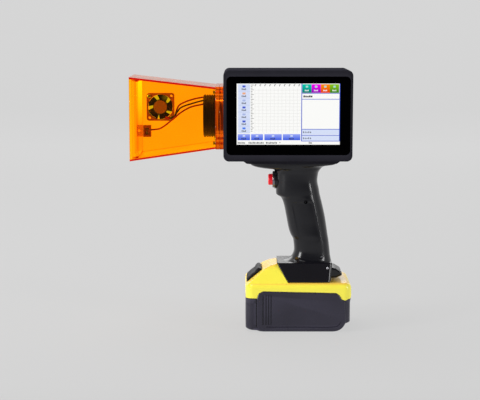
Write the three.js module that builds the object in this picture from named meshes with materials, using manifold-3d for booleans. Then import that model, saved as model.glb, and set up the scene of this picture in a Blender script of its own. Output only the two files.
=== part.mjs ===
// Handheld date coder: a screen housing with a marking module, an amber safety shield with a small
// fan on its mouth side, a pistol grip with a push-button trigger, and a slide-on battery pack.
// Millimetres. The origin is the centre of the battery's underside, +Z is up, the device marks
// towards -X and its screen faces -Y. "Screen side" is -Y and "back side" is +Y.
import * as THREE from 'three';
import { mergeVertices } from 'three/addons/utils/BufferGeometryUtils.js';
import Module from 'manifold-3d';

const wasm = await Module();
wasm.setup();

// ---- driving dimensions -------------------------------------------------------------------

const WALL = 2.5;
const GAP = 0.3;

const HOUSING = { x: [-80, 56], y: [-36, 36], z: [183.4, 279.4], corner: 6 };
const SEAM_Y = -14;
const GLASS = { x: [-76.3, 53], z: [190.7, 272.4], corner: 4.5, thick: 2 };
const DISPLAY = { x: [-72, 48.5], z: [194.3, 269.7], thick: 3.4 };

const AXIS_Z = 229.2;
const SHIELD = { mouthX: -178.8, rearX: -88.4, halfDepth: 35, plate: 2 };
const SHIELD_TOP = { mouth: 272.1, rear: 261.6 };
const SHIELD_BOTTOM = { mouth: 183.6, rear: 196.8 };
const STRIP = [2.6, 9.2];
const FLANGE = { x: [-88.3, -80.1], z: [196.3, 262.2], screwY: 29, screwZ: 27 };
const LEAD_HOLE = { y: 27, z: 246.4, radius: 3.6 };

const BARREL = { x: [-97.9, -70.3], radius: 12, collarX: [-88.5, -80.3], collarRadius: 20 };
const LENS_RING = { x: [-101.7, -88.6], radius: 22.85 };

const FAN = { x: -149.6, y: [22.9, 32.9], z: 237, size: 30, bore: 13.8, hub: 7.9, blades: 5, turn: 2 };
const SENSOR = { x: [-168.5, -160.2], y: [24.5, 32.9], z: [204.1, 216.9], boardX: -176.3 };
const LEAD_RADIUS = 0.7;

const TRIGGER = { z: 160.4, radius: 6.15, tipX: -32, rearX: -18, bezelX: [-27.4, -25.2], bezelRadius: 9 };
const PLINTH = { z: [179.6, 183.3], halfDepth: 26 };
const HARNESS_RADIUS = 2;

const FOOT = { bottom: 52.9, top: 72.3, halfBottom: 32, halfTop: 22 };
const RAIL = { headHalf: 19.5, stemHalf: 14.5, head: [57.9, 65.6], end: 16.6 };

const BATTERY = { halfWidth: 36, panel: 1, top: 52.5, corner: 8 };
const CELL = { radius: 9.1, length: 65, pitch: 18.6, columns: 5, rows: 2, middleX: 1.2, firstZ: 11.9 };
const RELEASE = { middle: [-46.15, 57.85], slope: [18.7, 15.7], half: 9.5, halfWidth: 16, proud: 4 };

// ---- solids -------------------------------------------------------------------------------

function solid(geometry) {
  const bare = geometry.clone();
  bare.deleteAttribute('normal');
  bare.deleteAttribute('uv');
  const joined = mergeVertices(bare, 1e-4);
  return new wasm.Manifold(new wasm.Mesh({
    numProp: 3,
    vertProperties: new Float32Array(joined.attributes.position.array),
    triVerts: new Uint32Array(joined.index.array),
  }));
}

function geometryOf(body) {
  const mesh = body.getMesh();
  const geometry = new THREE.BufferGeometry();
  geometry.setAttribute('position', new THREE.BufferAttribute(new Float32Array(mesh.vertProperties), 3));
  geometry.setIndex(new THREE.BufferAttribute(new Uint32Array(mesh.triVerts), 1));
  geometry.computeVertexNormals();
  return geometry;
}

function block(x, y, z) {
  const geometry = new THREE.BoxGeometry(x[1] - x[0], y[1] - y[0], z[1] - z[0]);
  geometry.translate((x[0] + x[1]) / 2, (y[0] + y[1]) / 2, (z[0] + z[1]) / 2);
  return solid(geometry);
}

// The first, second and third axes of an extrusion, laid on the object's axes.
const LAYING = {
  X: [[0, 1, 0], [0, 0, 1], [1, 0, 0]],
  Y: [[1, 0, 0], [0, 0, 1], [0, -1, 0]],
  Z: [[1, 0, 0], [0, 1, 0], [0, 0, 1]],
};

function layAlong(axis) {
  return new THREE.Matrix4().makeBasis(...LAYING[axis].map((v) => new THREE.Vector3(...v)));
}

// Outline points are (y, z) along X, (x, z) along Y and (x, y) along Z.
function prism(axis, outline, from, to) {
  const shape = new THREE.Shape(outline.map((p) => (p.isVector2 ? p : new THREE.Vector2(...p))));
  const geometry = new THREE.ExtrudeGeometry(shape, { depth: to - from, bevelEnabled: false });
  geometry.translate(0, 0, axis === 'Y' ? -to : from);
  return solid(geometry.applyMatrix4(layAlong(axis)));
}

// A round bar along an axis. Its centre is given as the outline points of prism are.
function rod(axis, centre, radius, from, to, sides = 24) {
  const geometry = new THREE.CylinderGeometry(radius, radius, to - from, sides);
  geometry.rotateX(Math.PI / 2);
  geometry.translate(centre[0], centre[1], (axis === 'Y' ? -1 : 1) * (from + to) / 2);
  return solid(geometry.applyMatrix4(layAlong(axis)));
}

function roundedRectangle(u, v, radius, steps = 4) {
  const centres = [
    [u[1] - radius, v[1] - radius],
    [u[0] + radius, v[1] - radius],
    [u[0] + radius, v[0] + radius],
    [u[1] - radius, v[0] + radius],
  ];
  return centres.flatMap(([cu, cv], quarter) => Array.from({ length: steps + 1 }, (_, i) => {
    const angle = (quarter + i / steps) * Math.PI / 2;
    return new THREE.Vector2(cu + radius * Math.cos(angle), cv + radius * Math.sin(angle));
  }));
}

// The other half of an outline along X, from its last point back to its first.
function mirrored(outline) {
  return outline.map(([y, z]) => [-y, z]).reverse();
}

function inset(range, by) {
  return [range[0] + by, range[1] - by];
}

// A skin over rings of equal length. Each ring runs anticlockwise about the way the rings advance.
function loft(rings) {
  const count = rings[0].length;
  const triangles = [];
  for (let r = 0; r < rings.length - 1; r++) {
    for (let j = 0; j < count; j++) {
      const a = r * count + j;
      const b = r * count + (j + 1) % count;
      triangles.push(a, b, b + count, a, b + count, a + count);
    }
  }
  const last = (rings.length - 1) * count;
  for (let j = 1; j < count - 1; j++) {
    triangles.push(0, j + 1, j, last, last + j, last + j + 1);
  }
  const geometry = new THREE.BufferGeometry();
  const positions = rings.flat().flatMap((p) => p.toArray());
  geometry.setAttribute('position', new THREE.Float32BufferAttribute(positions, 3));
  geometry.setIndex(triangles);
  return solid(geometry);
}

// Rounded rectangles stacked from back to front. Each layer has its y, and is smaller by its by.
function stackedRectangles(x, z, corner, layers) {
  const ring = ({ y, by }) => roundedRectangle(inset(x, by), inset(z, by), Math.max(corner - by, 1))
    .map((p) => new THREE.Vector3(p.x, y, p.y));
  return loft(layers.map(ring));
}

// A round wire or cable through the given points.
function wire(points, radius, steps, sides = 8) {
  const path = new THREE.CatmullRomCurve3(points.map((p) => new THREE.Vector3(...p)), false, 'centripetal');
  const section = Array.from({ length: sides }, (_, i) => {
    const angle = i * 2 * Math.PI / sides;
    return new THREE.Vector2(radius * Math.cos(angle), radius * Math.sin(angle));
  });
  return solid(new THREE.ExtrudeGeometry(new THREE.Shape(section), { steps, extrudePath: path }));
}

// A compression spring along +Z from the origin, turned and moved by the placement.
function coil({ length, radius, wireRadius, turns, placement }) {
  const steps = Math.round(turns * 10);
  const points = Array.from({ length: steps + 1 }, (_, i) => {
    const angle = (i / steps) * turns * 2 * Math.PI;
    const rise = wireRadius + (i / steps) * (length - 2 * wireRadius);
    return [radius * Math.cos(angle), radius * Math.sin(angle), rise];
  });
  return wire(points, wireRadius, steps, 5).transform(placement.toArray());
}

// A body turned about the X direction. Profile points are (radius, x), with the outside running
// towards -X, and the loop closes itself.
function turned(profile, centreZ, sides) {
  const points = [...profile, profile[0]].map((p) => new THREE.Vector2(...p)).reverse();
  const geometry = new THREE.LatheGeometry(points, sides);
  geometry.rotateZ(-Math.PI / 2);
  geometry.translate(0, 0, centreZ);
  return solid(geometry);
}

function plus(body, others) {
  return others.reduce((whole, other) => whole.add(other), body);
}

function minus(body, cutters) {
  return cutters.reduce((left, cutter) => left.subtract(cutter), body);
}

// ---- finishes -----------------------------------------------------------------------------

const FINISHES = {
  housing: { color: 0x2a2930, roughness: 0.5, metalness: 0 },
  glass: { color: 0x020203, roughness: 0.08, metalness: 0 },
  display: { color: 0xdfe3ea, roughness: 0.3, metalness: 0 },
  circuit: { color: 0x1d5a34, roughness: 0.6, metalness: 0 },
  module: { color: 0x3a3a3e, roughness: 0.4, metalness: 0.8 },
  lens: { color: 0x1c1c20, roughness: 0.35, metalness: 0.6 },
  window: { color: 0xc8b8d8, roughness: 0.05, metalness: 0 },
  amber: { color: 0xff8a10, roughness: 0.1, metalness: 0, opacity: 0.45, transparent: true },
  steel: { color: 0x8c8c90, roughness: 0.35, metalness: 1 },
  flange: { color: 0x9a4010, roughness: 0.35, metalness: 0 },
  fan: { color: 0x1e1c1c, roughness: 0.5, metalness: 0 },
  red: { color: 0xa01818, roughness: 0.5, metalness: 0 },
  black: { color: 0x17171b, roughness: 0.5, metalness: 0 },
  pale: { color: 0xd8c8a0, roughness: 0.6, metalness: 0 },
  grip: { color: 0x24242c, roughness: 0.5, metalness: 0 },
  button: { color: 0xe01428, roughness: 0.25, metalness: 0 },
  foot: { color: 0x121217, roughness: 0.25, metalness: 0 },
  brass: { color: 0xc09a50, roughness: 0.3, metalness: 1 },
  yellow: { color: 0xf2dc3c, roughness: 0.45, metalness: 0 },
  pack: { color: 0x36343f, roughness: 0.5, metalness: 0 },
  cell: { color: 0x3f7a52, roughness: 0.4, metalness: 0 },
};

const coder = new THREE.Group();
coder.name = 'date_coder';

// A sub-assembly, such as the battery, as a group inside the whole object.
function assembly(name) {
  const group = new THREE.Group();
  group.name = name;
  coder.add(group);
  return group;
}

function add(group, name, body, finish, place = [0, 0, 0]) {
  const mesh = new THREE.Mesh(geometryOf(body), new THREE.MeshStandardMaterial(FINISHES[finish]));
  mesh.name = name;
  mesh.position.set(...place);
  group.add(mesh);
}

// ---- screen housing -----------------------------------------------------------------------

const FLANGE_SCREWS = [[-1, 1], [1, 1], [-1, -1], [1, -1]]
  .map(([side, up]) => [side * FLANGE.screwY, AXIS_Z + up * FLANGE.screwZ]);

// The holes that the flange screws need, from outside the shield to inside the housing.
function flangeScrewHoles() {
  return FLANGE_SCREWS.map((place) => rod('X', place, 1.7, FLANGE.x[0] - 1, HOUSING.x[0] + 2 * WALL, 10));
}

function frontBezel() {
  const glassBack = HOUSING.y[0] + GLASS.thick;
  const shell = stackedRectangles(HOUSING.x, HOUSING.z, HOUSING.corner, [
    { y: SEAM_Y, by: 0 },
    { y: HOUSING.y[0] + 1.4, by: 0 },
    { y: HOUSING.y[0], by: 1.4 },
  ]);
  const inside = prism('Y', roundedRectangle(inset(HOUSING.x, WALL), inset(HOUSING.z, WALL), 3.5),
    glassBack + 2, SEAM_Y + 1);
  const pocket = prism('Y', roundedRectangle(inset(GLASS.x, -GAP), inset(GLASS.z, -GAP), GLASS.corner),
    HOUSING.y[0] - 1, glassBack);
  const opening = block(inset(DISPLAY.x, -GAP), [glassBack - 1, glassBack + 3], inset(DISPLAY.z, -GAP));
  return minus(shell, [inside, pocket, opening, ...flangeScrewHoles()]);
}

function rearHousing() {
  const shell = stackedRectangles(HOUSING.x, HOUSING.z, HOUSING.corner, [
    { y: HOUSING.y[1], by: 3 },
    { y: HOUSING.y[1] - 3, by: 0 },
    { y: SEAM_Y + 0.2, by: 0 },
  ]);
  const inside = stackedRectangles(inset(HOUSING.x, WALL), inset(HOUSING.z, WALL), 4, [
    { y: HOUSING.y[1] - WALL, by: 2.4 },
    { y: HOUSING.y[1] - 5, by: 0 },
    { y: SEAM_Y - 1, by: 0 },
  ]);
  const wall = [HOUSING.x[0] - 1, HOUSING.x[0] + 2 * WALL];
  const barrelHole = rod('X', [0, AXIS_Z], BARREL.radius + GAP, ...wall);
  const leadHole = rod('X', [LEAD_HOLE.y, LEAD_HOLE.z], LEAD_HOLE.radius, ...wall, 16);
  const harnessHole = rod('Z', [8, 0], 5, HOUSING.z[0] - 1, HOUSING.z[0] + 2 * WALL, 16);
  const vents = Array.from({ length: 8 }, (_, i) => block(
    [14 + i * 4, 15.6 + i * 4],
    [HOUSING.y[1] - 4, HOUSING.y[1] + 1],
    [204, 250],
  ));
  return minus(shell, [inside, barrelHole, leadHole, harnessHole, ...vents, ...flangeScrewHoles()]);
}

function touchGlass() {
  return prism('Y', roundedRectangle(GLASS.x, GLASS.z, GLASS.corner),
    HOUSING.y[0] - 0.2, HOUSING.y[0] + GLASS.thick - 0.1);
}

function displayPanel() {
  const front = HOUSING.y[0] + GLASS.thick;
  return block(DISPLAY.x, [front, front + DISPLAY.thick], DISPLAY.z);
}

function mainBoard() {
  return block([-72, 48], [-28, -26.4], [192, 271]);
}

// The laser module: a finned metal block. Its fins are the rear third.
function markingModule() {
  const body = block([-70, 50], [-12, 28], [206, 252]);
  const slots = Array.from({ length: 6 }, (_, i) => block([16, 51], [-8 + i * 6, -5 + i * 6], [212, 253]));
  return minus(body, slots);
}

// The barrel has a wide collar inside the neck, and passes on into the housing.
function lensBarrel() {
  const axis = [0, AXIS_Z];
  const bore = rod('X', axis, BARREL.radius - 2, BARREL.x[0] - 1, BARREL.x[1] + 1);
  const collar = rod('X', axis, BARREL.collarRadius, ...BARREL.collarX, 28);
  return rod('X', axis, BARREL.radius, ...BARREL.x).add(collar).subtract(bore);
}

function lensRing() {
  const [front, back] = LENS_RING.x;
  const outer = LENS_RING.radius;
  const bore = BARREL.radius + 0.2;
  const groove = outer - 0.9;
  return turned([
    [bore, back],
    [outer - 0.8, back],
    [outer, back - 0.8],
    [outer, back - 3.6],
    [groove, back - 3.9],
    [groove, back - 4.9],
    [outer, back - 5.2],
    [outer, back - 8.6],
    [groove, back - 8.9],
    [groove, back - 9.9],
    [outer, back - 10.2],
    [outer - 2.4, front],
    [17, front],
    [17, BARREL.x[0] - 0.1],
    [bore, BARREL.x[0] - 0.1],
  ], AXIS_Z, 26);
}

function lensWindow() {
  return rod('X', [0, AXIS_Z], 16.6, BARREL.x[0] - 2.2, BARREL.x[0] - 0.2, 30);
}

// ---- amber shield -------------------------------------------------------------------------

// The height of a straight edge of the shield at x.
function edgeAt(edge, x) {
  const along = (x - SHIELD.mouthX) / (SHIELD.rearX - SHIELD.mouthX);
  return edge.mouth + along * (edge.rear - edge.mouth);
}

// A plate that follows an edge of the shield from one x to another. Its faces lie at two depths
// below the edge (above it for the bottom plate, whose inward is -1).
function followingPlate(edge, inward, x, depths, y) {
  const corner = (at, depth) => [at, edgeAt(edge, at) - inward * depth];
  const outline = [
    corner(x[0], depths[0]),
    corner(x[0], depths[1]),
    corner(x[1], depths[1]),
    corner(x[1], depths[0]),
  ];
  return prism('Y', outline, ...y);
}

const WHOLE_SHIELD = [SHIELD.mouthX, SHIELD.rearX];
const ACROSS_SHIELD = [-SHIELD.halfDepth, SHIELD.halfDepth];
const STRIP_X = STRIP.map((inward) => SHIELD.mouthX + inward);

function sidePlateOutline(x, clear) {
  return [
    [x[0], edgeAt(SHIELD_BOTTOM, x[0]) + clear],
    [x[1], edgeAt(SHIELD_BOTTOM, x[1]) + clear],
    [x[1], edgeAt(SHIELD_TOP, x[1]) - clear],
    [x[0], edgeAt(SHIELD_TOP, x[0]) - clear],
  ];
}

function sidePlate(y) {
  return prism('Y', sidePlateOutline(WHOLE_SHIELD, SHIELD.plate + 0.05), ...y);
}

function backSidePlate() {
  const vent = rod('Y', [FAN.x, FAN.z], 13, FAN.y[1] - 1, SHIELD.halfDepth + 1, 28);
  return sidePlate([SHIELD.halfDepth - SHIELD.plate, SHIELD.halfDepth]).subtract(vent);
}

function flangePlate(x) {
  const plate = block(x, ACROSS_SHIELD, FLANGE.z);
  const lens = rod('X', [0, AXIS_Z], BARREL.collarRadius + GAP, x[0] - 1, x[1] + 1, 28);
  const leads = rod('X', [LEAD_HOLE.y, LEAD_HOLE.z], LEAD_HOLE.radius, x[0] - 1, x[1] + 1, 16);
  return minus(plate, [lens, leads, ...flangeScrewHoles()]);
}

// A socket screw with the underside of its head at the origin and its shank along +X.
function flangeScrew() {
  const axis = [0, 0];
  const head = rod('X', axis, 2.75, -3, -0.02, 12);
  const shank = rod('X', axis, 1.4, -1, HOUSING.x[0] + WALL + 2 - FLANGE.x[0], 8);
  const socket = rod('X', axis, 1.3, -4, -1.4, 6);
  return head.add(shank).subtract(socket);
}

function leadGrommet() {
  const place = [LEAD_HOLE.y, LEAD_HOLE.z];
  const sleeve = rod('X', place, LEAD_HOLE.radius - 0.1, FLANGE.x[0] - 1.2, HOUSING.x[0] + WALL + 1, 16);
  const lip = rod('X', place, LEAD_HOLE.radius + 1, FLANGE.x[0] - 1.2, FLANGE.x[0] - 0.05, 16);
  const bore = rod('X', place, 2.4, FLANGE.x[0] - 2, HOUSING.x[0] + 2 * WALL, 16);
  return sleeve.add(lip).subtract(bore);
}

// ---- fan and sensor on the back side plate ------------------------------------------------

// A round tunnel with a square flange at each end. The motor plate stands on struts at the back.
function fanFrame() {
  const half = FAN.size / 2;
  const flange = 1.8;
  const axis = [FAN.x, FAN.z];
  const [front, back] = FAN.y;
  const square = roundedRectangle([FAN.x - half, FAN.x + half], [FAN.z - half, FAN.z + half], 2.5, 2);
  const tunnel = rod('Y', axis, half - 0.1, front + 0.5, back - 0.5, 32);
  const flanges = [prism('Y', square, front, front + flange), prism('Y', square, back - flange, back)];
  const bore = rod('Y', axis, FAN.bore, front - 1, back + 1, 32);
  const holes = [[-1, -1], [1, -1], [1, 1], [-1, 1]]
    .map(([u, v]) => rod('Y', [FAN.x + u * 12, FAN.z + v * 12], 1.6, front - 1, back + 1, 10));
  const strut = block([FAN.hub - 1, FAN.bore + 0.5], [back - 1.4, back], [-1, 1]);
  const struts = [20, 110, 200, 290].map((turn) => strut.rotate([0, turn, 0]).translate([FAN.x, 0, FAN.z]));
  const motorPlate = rod('Y', axis, FAN.hub + 0.4, back - 1.4, back);
  return plus(minus(plus(tunnel, flanges), [bore, ...holes]), [motorPlate, ...struts]);
}

function fanRotor() {
  const axis = [FAN.x, FAN.z];
  const reach = FAN.bore - 0.5;
  const depth = [FAN.y[0] + 0.8, FAN.y[1] - 2];
  const sweep = rod('Y', axis, reach, ...depth, 32);
  const blade = block([FAN.hub - 1.5, reach + 1], [-0.45, 0.45], [-5.4, 5.4]).rotate([33, 0, 0]);
  const blades = Array.from({ length: FAN.blades }, (_, i) => blade
    .rotate([0, FAN.turn + i * 360 / FAN.blades, 0])
    .translate([FAN.x, (depth[0] + depth[1]) / 2, FAN.z])
    .intersect(sweep));
  return plus(rod('Y', axis, FAN.hub, FAN.y[0] + 0.5, FAN.y[1] - 1.8), blades);
}

// Every lead runs from its piece to the grommet; the last points are its place in the bundle.
function lead(points, [acrossY, acrossZ]) {
  const y = LEAD_HOLE.y + acrossY;
  const z = LEAD_HOLE.z + acrossZ;
  return wire([...points, [-91, y, z], [-84, y, z], [-74, y, z]], LEAD_RADIUS, 26);
}

function fanLeadUpper() {
  return lead([
    [-134.3, 26, 226.6],
    [-133.4, 26, 226.9],
    [-132.7, 25.9, 230.6],
    [-129.5, 25.4, 238.3],
    [-123.8, 25, 241.9],
    [-113.3, 24.7, 245.6],
    [-102.6, 24.7, 247.6],
  ], [0, 1.15]);
}

function fanLeadLower() {
  return lead([
    [-139.5, 22.6, 224.5],
    [-139.3, 21.8, 224.7],
    [-137.6, 21.4, 225.5],
    [-134, 22, 227.4],
    [-131.8, 23, 230.6],
    [-127.4, 23.7, 236.1],
    [-113.3, 24, 241.3],
    [-102.6, 24, 244.1],
  ], [-1, -0.6]);
}

function sensorLead() {
  return lead([
    [-160.05, 28.5, 211.7],
    [-156, 28.2, 212],
    [-150.1, 26.5, 213.3],
    [-143.9, 23.6, 217.3],
    [-139.2, 21.5, 221.2],
    [-133.6, 20.9, 225.6],
    [-129.1, 21.8, 229.6],
    [-119.1, 23.6, 235.8],
    [-113.3, 24, 237.9],
    [-102.6, 24.2, 240.3],
  ], [1, -0.6]);
}

function sensorBoard() {
  return block([SENSOR.boardX, SENSOR.x[0] - 0.1], [29.2, 30.8], SENSOR.z);
}

function sensorHousing() {
  const body = block(SENSOR.x, SENSOR.y, SENSOR.z);
  const window = block(inset(SENSOR.x, 2), [SENSOR.y[0] - 1, SENSOR.y[0] + 1], inset(SENSOR.z, 3));
  return body.subtract(window);
}

// ---- handle -------------------------------------------------------------------------------

// Level, front edge, back edge and half width of the grip, from its base to its flared top.
const GRIP_SECTIONS = [
  [72.5, -14.5, 36.8, 20.5],
  [74, -9.6, 36.4, 19],
  [77.6, -5.5, 35.7, 17.6],
  [84, -3.6, 35, 17.2],
  [95, -4.6, 33.7, 17.5],
  [101, -7.6, 32.7, 18],
  [107, -9.6, 31.8, 18.2],
  [120, -12.2, 29.7, 18.6],
  [134, -15.1, 26.6, 19],
  [141, -18, 24.8, 19.3],
  [145.3, -23.4, 23.8, 19.6],
  [150, -23.6, 23, 19.8],
  [160, -23.6, 21.2, 20],
  [168, -23.9, 22.2, 20.5],
  [170, -24.8, 23.1, 21],
  [172.5, -28.5, 24.9, 21.5],
  [174, -43, 26.4, 22.5],
  [176, -49.9, 31, 23.5],
  [177.4, -51.3, 41, 24],
  [179.4, -51.6, 41.3, 24.2],
];
const GRIP_SIDES = 20;
const GRIP_SQUARENESS = 2.4;
const HANDLE_SCREWS = [[8, 138], [25.5, 77.5]];

function gripRing([z, front, back, halfWidth], by) {
  const power = (value) => Math.sign(value) * Math.abs(value) ** (2 / GRIP_SQUARENESS);
  return Array.from({ length: GRIP_SIDES }, (_, i) => {
    const angle = (i + 0.5) * 2 * Math.PI / GRIP_SIDES;
    return new THREE.Vector3(
      (front + back) / 2 + ((back - front) / 2 - by) * power(Math.cos(angle)),
      (halfWidth - by) * power(Math.sin(angle)),
      z,
    );
  });
}

function grip(by) {
  return loft(GRIP_SECTIONS.map((section) => gripRing(section, by)));
}

// The outline of the shallow panel on each side of the grip.
const GRIP_PANEL = [
  [-6, 137], [8, 138.5], [15, 134], [19, 120], [23, 104], [23, 96], [17, 91], [8, 91], [3, 96],
  [0, 104], [-4, 118], [-7, 130],
];

function wholeHandle() {
  const outer = grip(0);
  const boss = rod('X', [0, TRIGGER.z], TRIGGER.bezelRadius + 1, TRIGGER.bezelX[1] + 0.05, -12);
  const inner = grip(2.6).intersect(block([-60, 60], [-40, 40], [75.5, 190]));
  const sleeveHole = rod('X', [0, TRIGGER.z], 8.1, TRIGGER.bezelX[0], -11);
  const harnessHole = rod('Z', [12, 0], 5, 70, 80, 16);
  const panel = prism('Y', GRIP_PANEL, -40, 40).subtract(grip(0.8));
  return minus(outer.add(boss), [inner, sleeveHole, harnessHole, panel]);
}

function handleShell(side) {
  const half = wholeHandle().intersect(block([-80, 80], side < 0 ? [-50, -0.05] : [0.05, 50], [60, 190]));
  const span = (from, to) => (side < 0 ? [-to, -from] : [from, to]);
  const posts = HANDLE_SCREWS.map((place) => rod('Y', place, 4, ...span(0.05, side < 0 ? 10 : 16), 12));
  const rests = block([-11, 1], span(6.1, 18.2), [156, 165]);
  const holes = HANDLE_SCREWS.map((place) => rod('Y', place, 1.6, ...span(-1, 11), 10));
  const recesses = side < 0 ? HANDLE_SCREWS.map((place) => rod('Y', place, 3.1, ...span(9.9, 30), 12)) : [];
  const walls = HANDLE_SCREWS.map((place) => rod('Y', place, 4.6, ...span(9.8, 17), 12));
  return minus(plus(half, [...posts, rests, ...(side < 0 ? walls : [])]), [...holes, ...recesses]);
}

// A screw along Y through the handle's seam.
function handleScrew() {
  const axis = [0, 0];
  const head = rod('Y', axis, 2.8, -12.4, -10.02, 12);
  const shank = rod('Y', axis, 1.3, -11, 9.5, 8);
  const socket = rod('Y', axis, 1.3, -13, -11.2, 6);
  return head.add(shank).subtract(socket);
}

function handlePlinth() {
  const ring = (x, halfDepth, z) => roundedRectangle(x, [-halfDepth, halfDepth], 6)
    .map((p) => new THREE.Vector3(p.x, p.y, z));
  const body = loft([
    ring([-56.5, 42.4], PLINTH.halfDepth - 1.5, PLINTH.z[0]),
    ring([-60.3, 45.7], PLINTH.halfDepth, PLINTH.z[1]),
  ]);
  return body.subtract(rod('Z', [8, 0], 5, PLINTH.z[0] - 1, PLINTH.z[1] + 1, 16));
}

function triggerBezel() {
  const place = [0, TRIGGER.z];
  const face = rod('X', place, TRIGGER.bezelRadius, ...TRIGGER.bezelX, 28);
  const sleeve = rod('X', place, 7.8, TRIGGER.bezelX[1] - 0.5, -13.5, 28);
  return face.add(sleeve).subtract(rod('X', place, TRIGGER.radius + GAP, TRIGGER.tipX, -10, 28));
}

function triggerButton() {
  const { tipX, rearX, radius } = TRIGGER;
  return turned([
    [0, rearX],
    [radius, rearX],
    [radius, tipX + 1.6],
    [radius - 0.6, tipX + 0.6],
    [radius - 2, tipX],
    [0, tipX],
  ], TRIGGER.z, 24);
}

function triggerSpring() {
  const placement = new THREE.Matrix4().makeTranslation(TRIGGER.rearX + 0.1, 0, TRIGGER.z)
    .multiply(layAlong('X'));
  return coil({ length: 6.7, radius: 3, wireRadius: 0.45, turns: 3, placement });
}

function triggerSwitch() {
  return block([-11.1, 0.9], [-6, 6], [154.4, 166.4]);
}

function powerHarness() {
  return wire([
    [12, 0, 67.5],
    [13, 0, 84],
    [11, 0, 112],
    [17, 0, 138],
    [13, 0, 160],
    [9.5, 0, 176],
    [8, 0, 184],
    [8, 0, 192],
  ], HARNESS_RADIUS, 18);
}

// ---- foot that the battery slides into ----------------------------------------------------

function footHousing() {
  const { bottom, top, halfBottom, halfTop } = FOOT;
  const side = prism('Y', [[-22.5, top], [-10.8, bottom], [34.6, bottom], [37, top]], -40, 40);
  const halfEnd = [[halfBottom, bottom], [halfTop, top]];
  const end = prism('X', [...halfEnd, ...mirrored(halfEnd)], -40, 40);
  const tail = prism('Y', [
    [34, 54.2], [41.4, 54.2], [45.8, 55.7], [48.5, 58], [47.4, 60.5], [42.9, 64], [39.4, 65], [34, 66.4],
  ], -15, 15);
  const channel = block([-30, 24], [-RAIL.headHalf - 0.6, RAIL.headHalf + 0.6], [RAIL.head[0] - 0.6, 66.4]);
  const slot = block([-30, 24], [-RAIL.stemHalf - 0.6, RAIL.stemHalf + 0.6], [bottom - 1, RAIL.head[0]]);
  const harnessHole = rod('Z', [12, 0], 4, 65, 75, 16);
  return minus(side.intersect(end).add(tail), [channel, slot, harnessHole]);
}

const BLADE_Y = 9;

function terminalBlock() {
  const body = block([17, 23.8], [-19.8, 19.8], [57.5, 66.2]);
  const seats = [-BLADE_Y, BLADE_Y].map((y) => block([16, 22], [y - 0.5, y + 0.5], [59.9, 64.6]));
  return minus(body, seats);
}

function terminalBlade() {
  return block([9, 21.8], [-0.45, 0.45], [60, 64.5]);
}

// ---- battery pack -------------------------------------------------------------------------

const PACK_OUTLINE = [
  [-56.5, 38], [-56.5, 8], [-53, 4.5], [-45.2, 4.5], [-44.5, 0], [43.5, 0], [46.4, 2.6], [51.2, 7.9],
  [55.8, 9.9], [55.8, 30.9], [57, 38], [56.6, 49.6], [48.8, 52.5], [-52.5, 52.5], [-56.4, 49.2],
];
const PACK_INSIDE = [
  [-53.9, 43.5], [-53.9, 8.5], [-52, 6.3], [-43.6, 6.3], [-42.6, 2.5], [42.6, 2.5], [44.7, 4.6], [49.6, 10],
  [53.3, 12], [53.3, 43.5], [50, 50], [-34, 50], [-34, 43.5],
];
const PARTING_LINE = [
  [-44.5, 36.5], [-42.6, 41.8], [-37.9, 44.3], [40.4, 42.4], [44.1, 39.8], [46.1, 35.5], [50, 34.1],
  [53.8, 35.5],
];
const SIDE_PANEL = [
  [-44.5, 36], [-44.5, 0.6], [43.5, 0.6], [46.4, 2.6], [51.2, 7.9], [49.5, 33.6], [46.1, 35.2],
  [44.1, 39.4], [40.4, 42], [-37.9, 43.9], [-42.6, 41.4],
];
const HUMP = [
  [-55.5, 50], [-36.8, 65.8], [-31, 68.8], [-22.6, 71], [-11.1, 52.4], [-11.1, 50],
];

// Half the hump's width at each level, from the pack's side up to the hump's top.
const HUMP_HALF_WIDTHS = [[34, 49], [33, 52], [28, 59], [23.5, 65.5], [17.5, 71]];

const ACROSS_PACK = [-BATTERY.halfWidth, BATTERY.halfWidth];

function packPlan() {
  return prism('Z', roundedRectangle([-57, 57.1], ACROSS_PACK, BATTERY.corner, 3), -1, 80);
}

function packBlank() {
  const { halfWidth, top } = BATTERY;
  const side = prism('Y', PACK_OUTLINE, ...ACROSS_PACK);
  const halfEnd = [[halfWidth, -1], [halfWidth, top - 7], [halfWidth - 2, top - 2], [halfWidth - 5, top]];
  const end = prism('X', [...halfEnd, ...mirrored(halfEnd)], -60, 60);
  return side.intersect(packPlan()).intersect(end);
}

function packInside() {
  return prism('Y', PACK_INSIDE, -CELL.length / 2 - 0.9, CELL.length / 2 + 0.9);
}

function partingRegion(top, offset) {
  const line = PARTING_LINE.map(([x, z]) => [x, z + offset]);
  return prism('Y', [[-60, 38 + offset], ...line, [60, 38 + offset], [60, top], [-60, top]], -45, 45);
}

// The release button's frame: its Z points out of the slope, and its X runs up the slope.
function releasePlacement(depth) {
  const along = new THREE.Vector3(RELEASE.slope[0], 0, RELEASE.slope[1]).normalize();
  const out = new THREE.Vector3(-along.z, 0, along.x);
  const across = new THREE.Vector3().crossVectors(out, along);
  return new THREE.Matrix4().makeBasis(along, across, out)
    .setPosition(new THREE.Vector3(RELEASE.middle[0], 0, RELEASE.middle[1]).addScaledVector(out, -depth));
}

function onSlope(body) {
  return body.transform(releasePlacement(0).toArray());
}

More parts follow.
